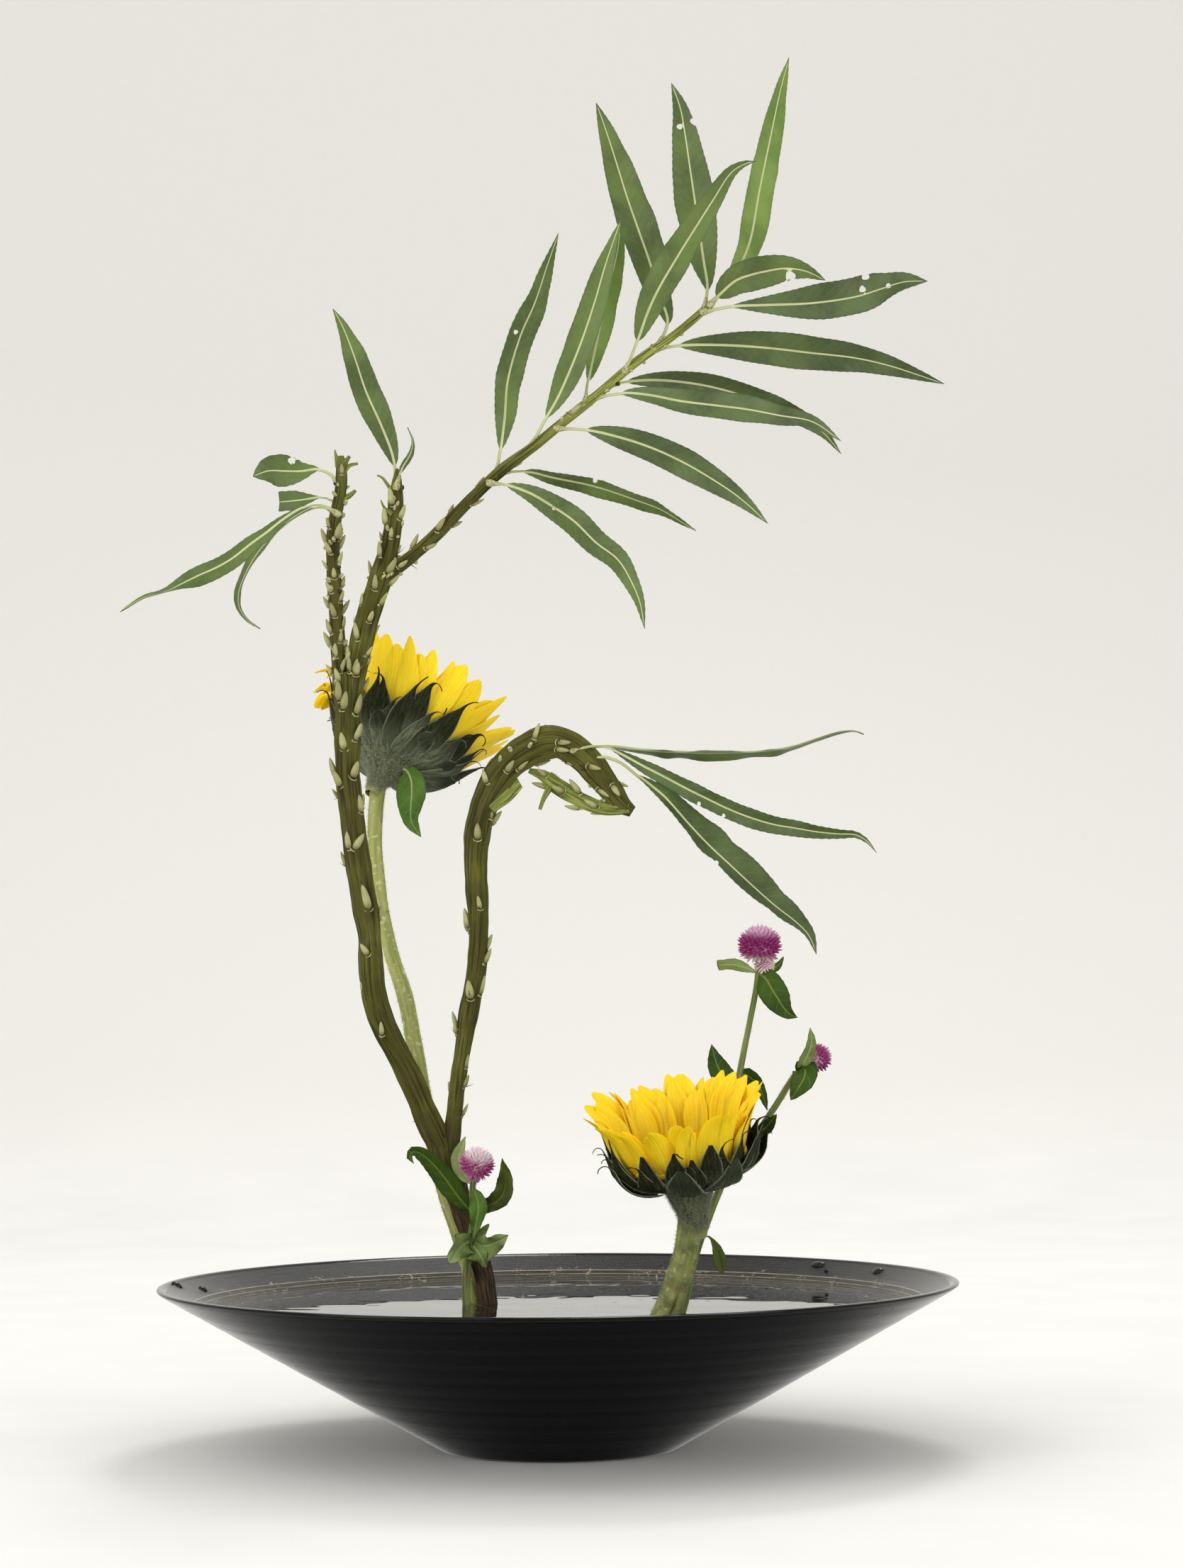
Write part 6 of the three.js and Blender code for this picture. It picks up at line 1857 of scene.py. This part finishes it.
IMAGE = (1669, 2212)
FOCAL_PIXELS, SENSOR_WIDTH = 4650, 36
PITCH, CAMERA_ROLL = math.radians(4.04), math.radians(-0.52)
FLOOR_FRONT, FLOOR_BACK, FLOOR_HALF_WIDTH, SWEEP_RADIUS, WALL_HEIGHT = -4.0, 1.4, 5.0, 1.6, 3.0
# Soft lamps: name, where it hangs, where it points, its side and its power in watts
LAMPS = (
    ("key", (-1.4, -1.6, 2.0), (0.0, 0.0, 0.2), 2.0, 16),
    ("fill", (1.7, -1.7, 0.45), (0.0, 0.0, 0.1), 1.8, 22),
    ("low_fill", (-1.7, -1.5, 0.4), (0.0, 0.0, 0.1), 1.8, 19),
    ("back", (0.3, 1.3, 2.0), (0.0, 0.0, 0.1), 0.6, 12),
)
DAYLIGHT, DAYLIGHT_STRENGTH = "#f6f5f1", 0.85


class IKEBANA_OT_stage(bpy.types.Operator):
    """Adds the pale floor, the soft lights and the camera"""

    bl_idname = "ikebana.stage"
    bl_label = "Stage"

    def execute(self, context):
        scene = context.scene
        self.add_floor(scene)
        for name, where, aim, size, power in LAMPS:
            light = bpy.data.lights.new(name, "AREA")
            light.shape, light.size, light.energy = "SQUARE", size, power
            lamp = bpy.data.objects.new(name, light)
            lamp.location = where
            lamp.rotation_euler = (Vector(aim) - Vector(where)).to_track_quat("-Z", "Y").to_euler()
            scene.collection.objects.link(lamp)
        world = scene.world or bpy.data.worlds.new("soft_daylight")
        scene.world = world
        world.use_nodes = True
        background = world.node_tree.nodes["Background"].inputs
        fill(world.node_tree, background, {"Color": rgba(DAYLIGHT), "Strength": DAYLIGHT_STRENGTH})
        scene.view_settings.view_transform = "Standard"
        self.add_camera(scene)
        return {"FINISHED"}

    def add_floor(self, scene):
        """A cloth-covered floor that sweeps up behind the object."""
        sweep = [
            (FLOOR_BACK + SWEEP_RADIUS * math.sin(a), SWEEP_RADIUS * (1 - math.cos(a)))
            for a in np.linspace(0.1, math.pi / 2, 16)
        ]
        top = (FLOOR_BACK + SWEEP_RADIUS, SWEEP_RADIUS + WALL_HEIGHT)
        profile = [(FLOOR_FRONT, 0.0), (FLOOR_BACK, 0.0), *sweep, top]
        spots = [(side * FLOOR_HALF_WIDTH, y, z) for y, z in profile for side in (-1, 1)]
        faces = [(2 * k, 2 * k + 1, 2 * k + 3, 2 * k + 2) for k in range(len(profile) - 1)]
        mesh = bpy.data.meshes.new("stage_floor")
        mesh.from_pydata(spots, [], faces)
        mesh.polygons.foreach_set("use_smooth", [True] * len(faces))
        mesh.materials.append(pale_cloth())
        floor = bpy.data.objects.new("stage_floor", mesh)
        scene.collection.objects.link(floor)

    def add_camera(self, scene):
        camera = bpy.data.cameras.new("front")
        camera.sensor_width = SENSOR_WIDTH
        camera.lens = FOCAL_PIXELS * SENSOR_WIDTH / max(IMAGE)
        camera.clip_start, camera.clip_end = 0.05, 50
        turn = Matrix.Rotation(math.pi / 2 + PITCH, 4, "X") @ Matrix.Rotation(CAMERA_ROLL, 4, "Z")
        body = bpy.data.objects.new("front", camera)
        body.matrix_world = Matrix.Translation(Vector(EYE * MM)) @ turn
        scene.collection.objects.link(body)
        scene.camera = body


class IKEBANA_PT_parts(bpy.types.Panel):
    """Lists the arrangement's pieces, sizes and colours"""

    bl_label = "Ikebana"
    bl_idname = "IKEBANA_PT_parts"
    bl_space_type = "VIEW_3D"
    bl_region_type = "UI"
    bl_category = "Ikebana"

    def draw(self, context):
        for operator in OPERATORS:
            self.layout.operator(operator.bl_idname)
        for group in (context.scene.ikebana_sizes, context.scene.ikebana_palette):
            box = self.layout.box()
            for name in group.__annotations__:
                box.prop(group, name)


OPERATORS = (
    IKEBANA_OT_stage,
    IKEBANA_OT_bowl,
    IKEBANA_OT_water,
    IKEBANA_OT_needle_holder,
    IKEBANA_OT_willow_branches,
    IKEBANA_OT_willow_leaves,
    IKEBANA_OT_sunflowers,
    IKEBANA_OT_amaranths,
)


def register():
    for item in (IkebanaSizes, IkebanaPalette, *OPERATORS, IKEBANA_PT_parts):
        bpy.utils.register_class(item)
    bpy.types.Scene.ikebana_sizes = PointerProperty(type=IkebanaSizes)
    bpy.types.Scene.ikebana_palette = PointerProperty(type=IkebanaPalette)


def unregister():
    del bpy.types.Scene.ikebana_palette
    del bpy.types.Scene.ikebana_sizes
    for item in (IKEBANA_PT_parts, *reversed(OPERATORS), IkebanaPalette, IkebanaSizes):
        bpy.utils.unregister_class(item)


def main():
    register()
    bpy.ops.ikebana.stage()
    bpy.ops.ikebana.bowl()
    bpy.ops.ikebana.water()
    bpy.ops.ikebana.needle_holder()
    bpy.ops.ikebana.willow_branches()
    bpy.ops.ikebana.willow_leaves()
    bpy.ops.ikebana.sunflowers()
    bpy.ops.ikebana.amaranths()


if __name__ == "__main__":
    main()
